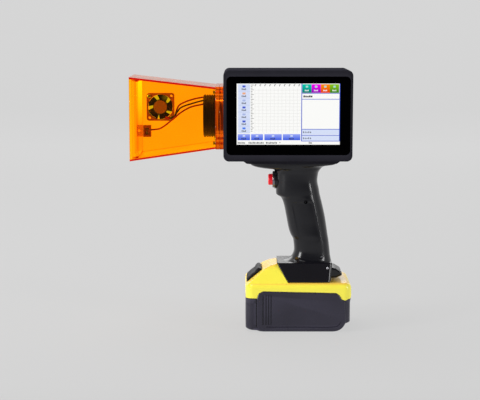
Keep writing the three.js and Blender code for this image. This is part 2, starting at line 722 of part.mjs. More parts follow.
function batteryUpperShell() {
  const { headHalf, stemHalf, head, end } = RAIL;
  const humpEnd = prism('X', [...HUMP_HALF_WIDTHS, ...mirrored(HUMP_HALF_WIDTHS)], -60, 0);
  const hump = prism('Y', HUMP, ...ACROSS_PACK).intersect(humpEnd).intersect(packPlan());
  const humpInside = prism('Y', [[-33, 42], [-33, 59], [-24.5, 66], [-17, 53.5], [-17, 42]], -15, 15);
  const stem = block([-14, end], [-stemHalf, stemHalf], [52, head[0] + 0.1]);
  const railSide = [[-20.5, head[1]], [-15.8, head[0]], [end, head[0]], [end, head[1]]];
  const rail = prism('Y', railSide, -headHalf, headHalf);
  const bladeSlots = [-BLADE_Y, BLADE_Y].map((y) => block([8, 20], [y - 1.2, y + 1.2], [59.2, 67]));
  const alongSlope = RELEASE.half + GAP;
  const acrossSlope = RELEASE.halfWidth + GAP;
  const pocket = onSlope(block([-alongSlope, alongSlope], [-acrossSlope, acrossSlope], [-8.4, 8]));
  const springHole = onSlope(rod('Z', [3, 0], 4, -12.6, -8, 16));
  const shell = packBlank().intersect(partingRegion(60, 0)).subtract(packInside());
  return minus(shell.add(hump).add(stem).add(rail), [humpInside, ...bladeSlots, pocket, springHole]);
}

function batteryLowerShell() {
  const lower = packBlank().subtract(partingRegion(90, -0.2));
  const { halfWidth, panel } = BATTERY;
  const panels = [[-halfWidth - panel, 1 - halfWidth], [halfWidth - 1, halfWidth + panel]]
    .map((y) => prism('Y', SIDE_PANEL, ...y));
  const grooves = [-37.9, -34.6, -31.9, -29.3].flatMap((x) => [-1, 1].map((side) => block(
    [x - 0.6, x + 0.6],
    side < 0 ? [-halfWidth - 2, -halfWidth] : [halfWidth, halfWidth + 2],
    [7.7, 41],
  )));
  return minus(lower.add(panels[0]).add(panels[1]), [packInside(), ...grooves]);
}

function releaseButton() {
  const { half, halfWidth, proud } = RELEASE;
  const outline = [
    [-half, -5], [half, -5], [half, proud - 2.2], [half - 2.4, proud],
    [2 - half, proud - 0.6], [-half, proud - 2.6],
  ];
  return onSlope(prism('Y', outline, -halfWidth, halfWidth));
}

function releaseSpring() {
  const placement = releasePlacement(12.5).multiply(new THREE.Matrix4().makeTranslation(3, 0, 0));
  return coil({ length: 7.4, radius: 3, wireRadius: 0.45, turns: 3.5, placement });
}

function managementBoard() {
  return block([-31, 48], [-30, 30], [44.6, 46.2]);
}

function batteryCell() {
  return rod('Y', [0, 0], CELL.radius, -CELL.length / 2, CELL.length / 2, 20);
}

function cellPlace(column, row) {
  return [
    CELL.middleX + (column - (CELL.columns - 1) / 2) * CELL.pitch,
    0,
    CELL.firstZ + row * CELL.pitch,
  ];
}

// ---- assembly -----------------------------------------------------------------------------

const screenUnit = assembly('screen_unit');
add(screenUnit, 'front_bezel', frontBezel(), 'housing');
add(screenUnit, 'rear_housing', rearHousing(), 'housing');
add(screenUnit, 'touch_glass', touchGlass(), 'glass');
add(screenUnit, 'display_panel', displayPanel(), 'display');
add(screenUnit, 'main_board', mainBoard(), 'circuit');

const optics = assembly('optics');
add(optics, 'marking_module', markingModule(), 'module');
add(optics, 'lens_barrel', lensBarrel(), 'lens');
add(optics, 'lens_ring', lensRing(), 'lens');
add(optics, 'lens_window', lensWindow(), 'window');

const shield = assembly('shield');
const plateDepths = [0, SHIELD.plate];
const stripDepths = [SHIELD.plate + 0.1, 2 * SHIELD.plate];
const betweenStrips = inset(ACROSS_SHIELD, 2 * SHIELD.plate + 0.2);
const sideStrip = sidePlateOutline(STRIP_X, SHIELD.plate + 0.1);
const screenSide = -SHIELD.halfDepth;
const backSide = SHIELD.halfDepth;
const topPlate = followingPlate(SHIELD_TOP, 1, WHOLE_SHIELD, plateDepths, ACROSS_SHIELD);
const bottomPlate = followingPlate(SHIELD_BOTTOM, -1, WHOLE_SHIELD, plateDepths, ACROSS_SHIELD);
const topStrip = followingPlate(SHIELD_TOP, 1, STRIP_X, stripDepths, betweenStrips);
const bottomStrip = followingPlate(SHIELD_BOTTOM, -1, STRIP_X, stripDepths, betweenStrips);
add(shield, 'shield_top_plate', topPlate, 'amber');
add(shield, 'shield_bottom_plate', bottomPlate, 'amber');
add(shield, 'shield_screen_side_plate', sidePlate([screenSide, screenSide + SHIELD.plate]), 'amber');
add(shield, 'shield_back_side_plate', backSidePlate(), 'amber');
add(shield, 'mouth_strip_top', topStrip, 'amber');
add(shield, 'mouth_strip_bottom', bottomStrip, 'amber');
add(shield, 'mouth_strip_screen_side', prism('Y', sideStrip, screenSide + 2.1, screenSide + 4.1), 'amber');
add(shield, 'mouth_strip_back_side', prism('Y', sideStrip, backSide - 4.1, backSide - 2.1), 'amber');
add(shield, 'shield_flange_outer', flangePlate([FLANGE.x[0], -84.25]), 'flange');
add(shield, 'shield_flange_inner', flangePlate([-84.15, FLANGE.x[1]]), 'flange');
FLANGE_SCREWS.forEach(([y, z], i) => {
  add(shield, `flange_screw_${i + 1}`, flangeScrew(), 'steel', [FLANGE.x[0], y, z]);
});

const shieldFittings = assembly('shield_fittings');
add(shieldFittings, 'lead_grommet', leadGrommet(), 'black');
add(shieldFittings, 'fan_frame', fanFrame(), 'fan');
add(shieldFittings, 'fan_rotor', fanRotor(), 'fan');
add(shieldFittings, 'fan_lead_upper', fanLeadUpper(), 'red');
add(shieldFittings, 'fan_lead_lower', fanLeadLower(), 'black');
add(shieldFittings, 'sensor_lead', sensorLead(), 'red');
add(shieldFittings, 'sensor_board', sensorBoard(), 'pale');
add(shieldFittings, 'sensor_housing', sensorHousing(), 'black');

const handle = assembly('handle');
add(handle, 'handle_plinth', handlePlinth(), 'grip');
add(handle, 'handle_shell_screen_side', handleShell(-1), 'grip');
add(handle, 'handle_shell_back_side', handleShell(1), 'grip');
HANDLE_SCREWS.forEach(([x, z], i) => {
  add(handle, `handle_screw_${i + 1}`, handleScrew(), 'steel', [x, 0, z]);
});
add(handle, 'trigger_bezel', triggerBezel(), 'steel');
add(handle, 'trigger_button', triggerButton(), 'button');
add(handle, 'trigger_spring', triggerSpring(), 'steel');
add(handle, 'trigger_switch', triggerSwitch(), 'black');
add(handle, 'power_harness', powerHarness(), 'black');

const foot = assembly('foot');
add(foot, 'foot_housing', footHousing(), 'foot');
add(foot, 'foot_terminal_block', terminalBlock(), 'black');
add(foot, 'foot_terminal_screen_side', terminalBlade(), 'brass', [0, -BLADE_Y, 0]);
add(foot, 'foot_terminal_back_side', terminalBlade(), 'brass', [0, BLADE_Y, 0]);

const battery = assembly('battery');
add(battery, 'battery_upper_shell', batteryUpperShell(), 'yellow');
add(battery, 'battery_lower_shell', batteryLowerShell(), 'pack');
add(battery, 'battery_release_button', releaseButton(), 'foot');
add(battery, 'battery_release_spring', releaseSpring(), 'steel');
add(battery, 'battery_management_board', managementBoard(), 'circuit');
for (let row = 0; row < CELL.rows; row++) {
  for (let column = 0; column < CELL.columns; column++) {
    const number = row * CELL.columns + column + 1;
    add(battery, `battery_cell_${number}`, batteryCell(), 'cell', cellPlace(column, row));
  }
}

export default coder;
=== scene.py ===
"""Looks of the handheld date coder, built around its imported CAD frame. Pieces are drawn in millimetres
in the frame's own axes (+X to the right, the screen faces -Y, +Z up) and placed in metres."""
import math

import bmesh
import bpy
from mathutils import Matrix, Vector


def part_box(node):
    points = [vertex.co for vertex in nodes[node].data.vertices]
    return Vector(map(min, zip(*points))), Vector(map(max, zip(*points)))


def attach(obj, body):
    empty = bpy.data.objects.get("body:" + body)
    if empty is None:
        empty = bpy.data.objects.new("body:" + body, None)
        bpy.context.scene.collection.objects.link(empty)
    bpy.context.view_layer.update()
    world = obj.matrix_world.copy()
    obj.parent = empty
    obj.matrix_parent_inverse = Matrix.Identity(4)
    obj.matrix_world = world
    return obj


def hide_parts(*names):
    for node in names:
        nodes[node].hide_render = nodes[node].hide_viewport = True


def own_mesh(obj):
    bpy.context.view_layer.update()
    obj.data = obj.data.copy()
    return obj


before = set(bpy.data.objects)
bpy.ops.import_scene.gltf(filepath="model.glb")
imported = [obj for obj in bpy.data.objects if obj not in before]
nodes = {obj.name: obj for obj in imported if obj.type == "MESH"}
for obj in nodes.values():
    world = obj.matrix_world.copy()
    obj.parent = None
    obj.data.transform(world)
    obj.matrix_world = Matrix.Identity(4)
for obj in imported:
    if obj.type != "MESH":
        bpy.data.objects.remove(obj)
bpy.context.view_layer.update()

MM = 0.001


def span(node):
    """The ranges of a CAD node along x, y and z, in millimetres."""
    low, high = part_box(node)
    return [(a / MM, b / MM) for a, b in zip(low, high)]


def middle(limits):
    return (limits[0] + limits[1]) / 2


def inset(limits, by):
    return (limits[0] + by, limits[1] - by)


# ---- mesh building ------------------------------------------------------------------------


def make_object(name, points, faces, material_of_face=None, crease=30):
    """An object from points in millimetres, with its faces outwards and edges over the crease angle sharp."""
    mesh = bpy.data.meshes.new(name)
    mesh.from_pydata([Vector(p) * MM for p in points], [], faces)
    if material_of_face:
        mesh.polygons.foreach_set("material_index", material_of_face)
    shape = bmesh.new()
    shape.from_mesh(mesh)
    bmesh.ops.recalc_face_normals(shape, faces=shape.faces)
    shape.to_mesh(mesh)
    shape.free()
    obj = bpy.data.objects.new(name, mesh)
    bpy.context.scene.collection.objects.link(obj)
    shade(mesh, crease)
    return obj


def shade(mesh, crease=30):
    mesh.shade_smooth()
    mesh.set_sharp_from_angle(angle=math.radians(crease))


def place(obj, materials, body="main_unit", slot=None, replaces=()):
    """Gives a finished piece its materials, its body and the CAD nodes that it stands for. The slot is not
    used.
    """
    slots = obj.data.materials
    for index, material in enumerate(materials if isinstance(materials, (list, tuple)) else [materials]):
        if index < len(slots):
            slots[index] = material
        else:
            slots.append(material)
    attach(obj, body)
    if replaces:
        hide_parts(*([replaces] if isinstance(replaces, str) else replaces))
    return obj


def rounded_rectangle(u, v, radius, steps=8):
    """Points of a rounded rectangle, anticlockwise from its corner at high u and high v."""
    corners = [
        (u[1] - radius, v[1] - radius),
        (u[0] + radius, v[1] - radius),
        (u[0] + radius, v[0] + radius),
        (u[1] - radius, v[0] + radius),
    ]
    points = []
    for quarter, (cu, cv) in enumerate(corners):
        for i in range(steps + 1):
            angle = (quarter + i / steps) * math.pi / 2
            points.append((cu + radius * math.cos(angle), cv + radius * math.sin(angle)))
    return points


def rounded_corners(points, radius, closed=True, steps=5):
    """An outline with its corners rounded. Radius is one value, or a list with one for each corner."""
    radii = radius if isinstance(radius, list) else [radius] * len(points)
    rounded = []
    for i, (point, wanted) in enumerate(zip(points, radii)):
        corner = Vector(point)
        if not wanted or (not closed and i in (0, len(points) - 1)):
            rounded.append(corner)
            continue
        back = Vector(points[i - 1]) - corner
        ahead = Vector(points[(i + 1) % len(points)]) - corner
        half = back.angle(ahead) / 2
        reach = min(wanted / math.tan(half), 0.48 * back.length, 0.48 * ahead.length)
        radius_here = reach * math.tan(half)
        centre = corner + (back.normalized() + ahead.normalized()).normalized() * radius_here / math.sin(half)
        first = corner + reach * back.normalized() - centre
        last = corner + reach * ahead.normalized() - centre
        start = math.atan2(first.y, first.x)
        turn = (math.atan2(last.y, last.x) - start + math.pi) % (2 * math.pi) - math.pi
        for k in range(steps + 1):
            angle = start + turn * k / steps
            rounded.append(centre + radius_here * Vector((math.cos(angle), math.sin(angle))))
    return rounded


def shrunk(outline, by):
    """An anticlockwise outline moved inwards all round."""
    moved = []
    for before, point, after in zip(outline[-1:] + outline[:-1], outline, outline[1:] + outline[:1]):
        a = (point - before).normalized()
        b = (after - point).normalized()
        moved.append(point + Vector((-a.y - b.y, a.x + b.x)) * by / (1 + a.dot(b)))
    return moved


def value_at(line, at):
    """Reads a line of (position, value) points, position rising."""
    for (p0, v0), (p1, v1) in zip(line, line[1:]):
        if at <= p1:
            return v0 + (v1 - v0) * (at - p0) / (p1 - p0)
    return line[-1][1]


def ring_faces(rings, count, closed=False):
    """Quads between neighbouring rings of equal length."""
    faces = []
    for r in range(rings if closed else rings - 1):
        low = r * count
        high = (r + 1) % rings * count
        for j in range(count):
            k = (j + 1) % count
            faces.append((low + j, low + k, high + k, high + j))
    return faces


def loft(name, rings, closed=False, crease=30, end_material=0):
    """A skin over rings of equal length, with flat ends, or closed into a loop."""
    count = len(rings[0])
    faces = ring_faces(len(rings), count, closed)
    materials = [0] * len(faces)
    if not closed:
        last = (len(rings) - 1) * count
        faces.append(tuple(reversed(range(count))))
        faces.append(tuple(range(last, last + count)))
        materials += [end_material] * 2
    return make_object(name, [p for ring in rings for p in ring], faces, materials, crease)


def arc(centre, radius, start, end, steps=5):
    """Points of an arc in a profile, with angles in degrees."""
    angles = [math.radians(start + (end - start) * i / steps) for i in range(steps + 1)]
    return [(centre[0] + radius * math.cos(a), centre[1] + radius * math.sin(a)) for a in angles]


def lathe(name, profile, axis, centre, sides=64, crease=30):
    """A body of revolution. Profile points are (radius, along), and a profile off the axis closes on
    itself. Axis is "x" or "y", and centre is the point of the axis in the other two directions."""
    on_axis = profile[0][0] == 0 and profile[-1][0] == 0
    inner = profile[1:-1] if on_axis else profile

    def spot(radius, along, turn):
        a = radius * math.cos(turn)
        b = radius * math.sin(turn)
        if axis == "x":
            return (along, centre[0] + a, centre[1] + b)
        return (centre[0] + a, along, centre[1] + b)

    turns = [2 * math.pi * j / sides for j in range(sides)]
    points = [spot(radius, along, turn) for radius, along in inner for turn in turns]
    faces = ring_faces(len(inner), sides, closed=not on_axis)
    if on_axis:
        first = len(points)
        points += [spot(0, profile[0][1], 0), spot(0, profile[-1][1], 0)]
        last_ring = (len(inner) - 1) * sides
        for j in range(sides):
            k = (j + 1) % sides
            faces.append((first, k, j))
            faces.append((first + 1, last_ring + j, last_ring + k))
    return make_object(name, points, faces, crease=crease)


def round_bar(name, axis, centre, radius, along, sides=48):
    profile = [(0, along[0]), (radius, along[0]), (radius, along[1]), (0, along[1])]
    return lathe(name, profile, axis, centre, sides)


def both_rims(half, edge, steps):
    """Rounded edges on both sides of a body, as pairs: how far inwards, and where between -half and half."""
    return [*arc((edge, edge - half), edge, 270, 180, steps), *arc((edge, half - edge), edge, 180, 90, steps)]


def smooth_path(points, per_span=8):
    """A centripetal Catmull-Rom line through the points."""
    spots = [Vector(p) for p in points]
    spots = [2 * spots[0] - spots[1], *spots, 2 * spots[-1] - spots[-2]]
    path = []
    for a, b, c, d in zip(spots, spots[1:], spots[2:], spots[3:]):
        t1 = (b - a).length ** 0.5
        t2 = t1 + (c - b).length ** 0.5
        t3 = t2 + (d - c).length ** 0.5
        for i in range(per_span):
            t = t1 + (t2 - t1) * i / per_span
            ab = a.lerp(b, t / t1)
            bc = b.lerp(c, (t - t1) / (t2 - t1))
            cd = c.lerp(d, (t - t2) / (t3 - t2))
            path.append(ab.lerp(bc, t / t2).lerp(bc.lerp(cd, (t - t1) / (t3 - t1)), (t - t1) / (t2 - t1)))
    return path + [spots[-2]]


def tube(name, path, radius, sides=12):
    """A round tube along a path, whose section doesn't twist."""
    up = Vector((0.1, 0.3, 1))
    rings = []
    for i, spot in enumerate(path):
        ahead = (path[min(i + 1, len(path) - 1)] - path[max(i - 1, 0)]).normalized()
        across = (up - up.dot(ahead) * ahead).normalized()
        up = across
        side = ahead.cross(across)
        turns = [2 * math.pi * j / sides for j in range(sides)]
        rings.append([spot + radius * (math.cos(t) * across + math.sin(t) * side) for t in turns])
    return loft(name, rings, crease=50)


def prism(name, axis, outline, along, side_materials=None, end_material=0):
    """A straight body with a given outline: (y, z) along x, (x, z) along y, (x, y) along z."""
    def spot(point, at):
        if axis == "x":
            return (at, point[0], point[1])
        if axis == "y":
            return (point[0], at, point[1])
        return (point[0], point[1], at)

    count = len(outline)
    points = [spot(p, along[0]) for p in outline] + [spot(p, along[1]) for p in outline]
    faces = ring_faces(2, count) + [tuple(reversed(range(count))), tuple(range(count, 2 * count))]
    return make_object(name, points, faces, (side_materials or [0] * count) + [end_material] * 2)


def block(name, x, y, z):
    return prism(name, "y", [(x[0], z[0]), (x[1], z[0]), (x[1], z[1]), (x[0], z[1])], y)


def joined(name, objects):
    """One object that holds the shells of several."""
    whole = bmesh.new()
    for obj in objects:
        whole.from_mesh(obj.data)
        bpy.data.objects.remove(obj)
    mesh = bpy.data.meshes.new(name)
    whole.to_mesh(mesh)
    whole.free()
    shade(mesh)
    obj = bpy.data.objects.new(name, mesh)
    bpy.context.scene.collection.objects.link(obj)
    return obj


def combine(target, tool, operation="DIFFERENCE"):
    """Cuts the tool out of the target, or joins it to the target, and removes the tool."""
    modifier = target.modifiers.new("combine", "BOOLEAN")
    modifier.operation = operation
    modifier.object = tool
    modifier.solver = "MANIFOLD"
    bpy.context.view_layer.update()
    evaluated = target.evaluated_get(bpy.context.evaluated_depsgraph_get())
    mesh = bpy.data.meshes.new_from_object(evaluated)
    target.modifiers.clear()
    target.data = mesh
    bpy.data.objects.remove(tool)
    shade(mesh)
    return target


def round_edges(obj, width, segments=3, angle=25):
    """Rounds the object's edges, width in millimetres."""
    bevel = obj.modifiers.new("round", "BEVEL")
    bevel.width = width * MM
    bevel.segments = segments
    bevel.limit_method = "ANGLE"
    bevel.angle_limit = math.radians(angle)
    bevel.use_clamp_overlap = False
    bevel.miter_outer = "MITER_ARC"
    return even_shading(obj)


def even_shading(obj):
    """Lets the large faces decide the shading, so that they look flat beside their rounded edges."""
    normals = obj.modifiers.new("normals", "WEIGHTED_NORMAL")
    normals.keep_sharp = True
    return obj


def soften(obj, width, segments=3, angle=25):
    """Rounds the edges of a CAD node, after joining its triangles into flat faces."""
    obj.data.normals_split_custom_set([(0, 0, 0)] * len(obj.data.loops))
    obj.data.shade_smooth()
    weld = obj.modifiers.new("weld", "WELD")
    weld.merge_threshold = 0.01 * MM
    flatten = obj.modifiers.new("flatten", "DECIMATE")
    flatten.decimate_type = "DISSOLVE"
    flatten.angle_limit = math.radians(0.5)
    return round_edges(obj, width, segments, angle)


# ---- materials ----------------------------------------------------------------------------


class Finish:
    """A material with one Principled shader, and short ways to add nodes to it."""

    def __init__(self, name, colour, roughness, **sockets):
        self.material = bpy.data.materials.new(name)
        self.material.use_nodes = True
        self.tree = self.material.node_tree
        self.shader = self.tree.nodes["Principled BSDF"]
        self.output = self.tree.nodes["Material Output"]
        self.set("Base Color", (*colour, 1))
        self.set("Roughness", roughness)
        for socket, value in sockets.items():
            self.set(socket.replace("_", " "), value)
        self.place = self.add("ShaderNodeTexCoord").outputs["Object"]

    def set(self, socket, value):
        self.shader.inputs[socket].default_value = value

    def add(self, kind, settings=None, **inputs):
        node = self.tree.nodes.new(kind)
        for key, value in (settings or {}).items():
            setattr(node, key, value)
        for key, value in inputs.items():
            self.feed(node.inputs[key.replace("_", " ")], value)
        return node

    def feed(self, socket, value):
        if isinstance(value, bpy.types.NodeSocket):
            self.tree.links.new(value, socket)
        else:
            socket.default_value = value

    def noise(self, size, detail=3, stretch=(1, 1, 1), distortion=0):
        """Noise with features of a size in millimetres, stretched along each axis."""
        scaled = self.add("ShaderNodeMapping", Vector=self.place, Scale=[1 / s for s in stretch])
        noise = self.add(
            "ShaderNodeTexNoise",
            Vector=scaled.outputs["Vector"],
            Scale=1 / (size * MM),
            Detail=detail,
            Distortion=distortion,
        )
        return noise.outputs["Fac"]

    def ramp(self, factor, *stops):
        """A colour ramp. Stops are (position, colour or grey level)."""
        node = self.add("ShaderNodeValToRGB", Fac=factor)
        elements = node.color_ramp.elements
        while len(elements) < len(stops):
            elements.new(0.5)
        for element, (position, value) in zip(elements, stops):
            element.position = position
            element.color = (*value, 1) if isinstance(value, tuple) else (value, value, value, 1)
        return node.outputs["Color"]

    def mix(self, factor, first, second, blend="MIX"):
        node = self.add("ShaderNodeMix", {"data_type": "RGBA", "blend_type": blend})
        self.feed(node.inputs[0], factor)
        for socket, value in ((node.inputs[6], first), (node.inputs[7], second)):
            self.feed(socket, (*value, 1) if isinstance(value, tuple) else value)
        return node.outputs[2]

    def along(self, axis, start, end):
        """How far a point has come along an axis, 0 at the start and 1 at the end, in millimetres."""
        parts = self.add("ShaderNodeSeparateXYZ", Vector=self.place)
        share = self.add("ShaderNodeMapRange", Value=parts.outputs[axis])
        share.inputs["From Min"].default_value = start * MM
        share.inputs["From Max"].default_value = end * MM
        return share.outputs["Result"]

    def bump(self, height, depth, strength=1.0):
        """Relief with a depth in millimetres."""
        node = self.add("ShaderNodeBump", Height=height, Distance=depth * MM, Strength=strength)
        self.feed(self.shader.inputs["Normal"], node.outputs["Normal"])

    def edges(self, low=0.52, high=0.6):
        """Where the surface turns a sharp outer edge."""
        pointiness = self.add("ShaderNodeNewGeometry").outputs["Pointiness"]
        return self.ramp(pointiness, (low, 0.0), (high, 1.0))


def scaled(colour, by):
    return tuple(min(c * by, 1) for c in colour)


def moulded(name, colour, roughness, grain=0.5, relief=0.02, shade_change=0.15, worn=1.6, painted_top_light=None,
            **sockets):
    """Moulded plastic: fine spark-eroded grain, slow shade changes, handled patches and worn, lightened
    edges.
    Faces that look up may take a painted top light: a colour of their own that stands for the light falling
    on them from above."""
    finish = Finish(name, colour, roughness, **sockets)
    slow = finish.ramp(finish.noise(35, 4), (0.3, scaled(colour, 1 - shade_change)),
                       (0.7, scaled(colour, 1 + shade_change)))
    worn_and_top_lit = finish.mix(finish.edges(), slow, scaled(colour, worn))
    # Painted light: faces that look up are mixed towards a warm colour that stands for the strong light
    # falling on them from above.
    if painted_top_light:
        normal = finish.add("ShaderNodeNewGeometry").outputs["Normal"]
        height = finish.add("ShaderNodeSeparateXYZ", Vector=normal).outputs["Z"]
        worn_and_top_lit = finish.mix(finish.ramp(height, (0.62, 0.0), (0.9, 1.0)), worn_and_top_lit, painted_top_light)
    finish.feed(finish.shader.inputs["Base Color"], worn_and_top_lit)
    patches = finish.noise(12, 5, distortion=0.6)
    handled = finish.ramp(patches, (0.35, roughness * 0.85), (0.7, roughness * 1.15))
    finish.feed(finish.shader.inputs["Roughness"], handled)
    finish.bump(finish.noise(grain, 2), relief, 0.5)
    return finish.material


def metal(name, colour, roughness, **sockets):
    """Turned or brushed metal with fine lines, stains and worn edges."""
    finish = Finish(name, colour, roughness, Metallic=1.0, **sockets)
    lines = finish.noise(0.25, 2, stretch=(1, 12, 1))
    stained = finish.ramp(finish.noise(6, 4), (0.3, scaled(colour, 0.75)), (0.7, scaled(colour, 1.1)))
    finish.feed(finish.shader.inputs["Base Color"], finish.mix(finish.edges(), stained, scaled(colour, 1.4)))
    brushed = finish.ramp(lines, (0.3, roughness * 0.7), (0.7, roughness * 1.3))
    finish.feed(finish.shader.inputs["Roughness"], brushed)
    finish.bump(lines, 0.01, 0.4)
    return finish.material


HOUSING = moulded("housing_plastic", (0.018, 0.0175, 0.023), 0.5, worn=2.5, Specular_IOR_Level=0.0)
BLACK = moulded("black_plastic", (0.012, 0.012, 0.014), 0.5, Specular_IOR_Level=0.3)
GRIP = moulded("grip_plastic", (0.005, 0.005, 0.0075), 0.2, relief=0.006, worn=2.0, Specular_IOR_Level=0.4)
FOOT = moulded("foot_plastic", (0.0065, 0.006, 0.0085), 0.13, relief=0.004, worn=2.0, Specular_IOR_Level=0.45)
RELEASE = moulded("release_plastic", (0.010, 0.010, 0.014), 0.5, worn=2.5, Specular_IOR_Level=0.12)
# The pack's upward faces take a painted warm top light.
YELLOW = moulded("pack_yellow", (0.99, 0.88, 0.08), 0.24, relief=0.008, shade_change=0.04, worn=1.0,
                 painted_top_light=(1.0, 0.64, 0.08))
PACK = moulded("pack_grey", (0.026, 0.024, 0.038), 0.3, worn=2.2, Specular_IOR_Level=0.32)
CIRCUIT = moulded("circuit_board", (0.010, 0.095, 0.035), 0.5)
MODULE = metal("module_metal", (0.16, 0.16, 0.17), 0.4)
LENS_METAL = metal("lens_metal", (0.014, 0.012, 0.012), 0.4)
STEEL = metal("steel", (0.45, 0.45, 0.47), 0.3)
BRASS = metal("terminal_brass", (0.65, 0.45, 0.16), 0.3)
CELL = moulded("cell_sleeve", (0.04, 0.18, 0.08), 0.35)
BUTTON = moulded("button_plastic", (0.98, 0.012, 0.03), 0.25, shade_change=0.05, worn=1.2)


def acrylic(name, tint, solid, share, glow, near_mouth=0.0, fades=False, streaks=False):
    """Clear tinted sheet. Most light passes and takes the tint, a share scatters in the sheet and glows,
    and the polished face mirrors the room at a flat angle. The share may be larger beside the mouth,
    fade towards the bottom, or stand in upright streaks."""
    finish = Finish(name, solid, 0.08, Emission_Strength=glow, Specular_IOR_Level=0.0)
    finish.set("Emission Color", (*solid, 1))
    cloud = finish.ramp(finish.noise(25, 4), (0.3, scaled(solid, 0.92)), (0.7, scaled(solid, 1.05)))
    finish.feed(finish.shader.inputs["Base Color"], cloud)
    clear = finish.add("ShaderNodeBsdfTransparent")
    clear.inputs["Color"].default_value = (*tint, 1)
    if streaks:
        lines = finish.noise(1.1, 1, stretch=(1, 60, 40))
        amount = finish.ramp(lines, (0.4, share * 0.15), (0.62, share * 1.9))
    else:
        amount = finish.ramp(finish.noise(60, 3), (0.3, share * 0.8), (0.7, share * 1.2))
    if fades:
        amount = finish.mix(finish.along("Z", *FADE_Z), (0.04,) * 3, amount)
    if near_mouth:
        rim = finish.along("X", MOUTH_X + 7.5, MOUTH_X + 4.5)
        amount = finish.mix(rim, amount, (near_mouth,) * 3)
    inside = finish.add("ShaderNodeMixShader", Fac=amount)
    finish.feed(inside.inputs[1], clear.outputs["BSDF"])
    finish.feed(inside.inputs[2], finish.shader.outputs["BSDF"])
    mirror = finish.add("ShaderNodeBsdfGlossy")
    smear = finish.ramp(finish.noise(9, 5, distortion=1.0), (0.4, 0.04), (0.75, 0.12))
    finish.feed(mirror.inputs["Roughness"], smear)
    sheen = finish.add("ShaderNodeLayerWeight", Blend=0.2).outputs["Fresnel"]
    whole = finish.add("ShaderNodeMixShader", Fac=sheen)
    finish.feed(whole.inputs[1], inside.outputs["Shader"])
    finish.feed(whole.inputs[2], mirror.outputs["BSDF"])
    finish.feed(finish.output.inputs["Surface"], whole.outputs["Shader"])
    return finish.material


def edge_glow():
    """The cut edges of the amber sheet, where the light that it guides comes out red."""
    finish = Finish("amber_edge", (0.4, 0.01, 0.0), 0.3, Emission_Strength=0.28, Specular_IOR_Level=0.1)
    finish.set("Emission Color", (1.0, 0.0, 0.005, 1))
    streaks = finish.ramp(finish.noise(3, 4), (0.3, (0.26, 0.003, 0.0)), (0.7, (0.42, 0.008, 0.003)))
    finish.feed(finish.shader.inputs["Base Color"], streaks)
    finish.bump(finish.noise(0.6, 2), 0.02, 0.5)
    return finish.material


def lit(name, top, bottom=None, limits=None):
    """A part of the picture on the screen, plain or fading from its top colour to its bottom colour."""
    finish = Finish(name, (0, 0, 0), 0.5, Emission_Strength=1.0, Specular_IOR_Level=0.0)
    finish.set("Emission Color", (*top, 1))
    if bottom:
        fade = finish.ramp(finish.along("Z", *limits), (0, bottom), (1, top))
        finish.feed(finish.shader.inputs["Emission Color"], fade)
    return finish.material


(MOUTH_X, REAR_X), SHIELD_Y, TOP_Z = span("shield_top_plate")
FADE_Z = (215, 262)
CLEAR_TINT = (1.0, 0.78, 0.05)
DEEP_AMBER = (1.0, 0.33, 0.0)
AMBER_NEAR = acrylic("amber_near", CLEAR_TINT, DEEP_AMBER, 0.003, 1.2, near_mouth=0.15)
AMBER = acrylic("amber_acrylic", CLEAR_TINT, DEEP_AMBER, 0.10, 3.6)
FLANGE = acrylic("flange_acrylic", (1.0, 0.40, 0.05), (0.7, 0.10, 0.0), 0.18, 0.9, streaks=True)
NEAR_STRIP = acrylic("near_strip", (1.0, 0.88, 0.4), DEEP_AMBER, 0.01, 1.2)
STRIP_AMBER = acrylic("strip_amber", CLEAR_TINT, (1.0, 0.75, 0.0), 0.3, 2.2, fades=True)
FOOT_AMBER = acrylic("foot_amber", CLEAR_TINT, (1.0, 0.62, 0.0), 0.35, 3.0)
AMBER_EDGE = edge_glow()
CLEAR = acrylic("cover_glass_window", (1, 1, 1), (0.01, 0.01, 0.01), 0.0, 0.0)
GLASS = moulded("cover_glass", (0.0005, 0.0005, 0.0006), 0.07, relief=0.001, worn=1.2,
                Specular_IOR_Level=0.0)
LENS_GLASS = moulded("lens_glass", (0.05, 0.02, 0.07), 0.05, relief=0.001, Coat_Weight=1.0)
FAN_PLASTIC = moulded("fan_plastic", (0.012, 0.011, 0.011), 0.4, Specular_IOR_Level=0.2)
FAN_BODY = moulded("fan_body", (0.24, 0.05, 0.03), 0.45, Specular_IOR_Level=0.3)
LABEL = moulded("hub_label", (0.15, 0.045, 0.03), 0.5)
SENSOR_BODY = moulded("sensor_body", (0.14, 0.015, 0.012), 0.45)
LEAD_RED = moulded("lead_red", (0.20, 0.006, 0.004), 0.5, Specular_IOR_Level=0.1)
BOARD = moulded("sensor_board", (0.50, 0.13, 0.04), 0.5)
DARK_STEEL = metal("dark_steel", (0.22, 0.22, 0.24), 0.25)
# Pale paint that stands in for a bright glint of light on a screw head: a painted highlight.
SCREW_GLINT = moulded("screw_painted_glint", (0.62, 0.62, 0.66), 0.3, grain=0.3, worn=1.2)
BUTTON_ROW_Z = (206.5, 212)
TILE_ROW_Z = (255.5, 265)
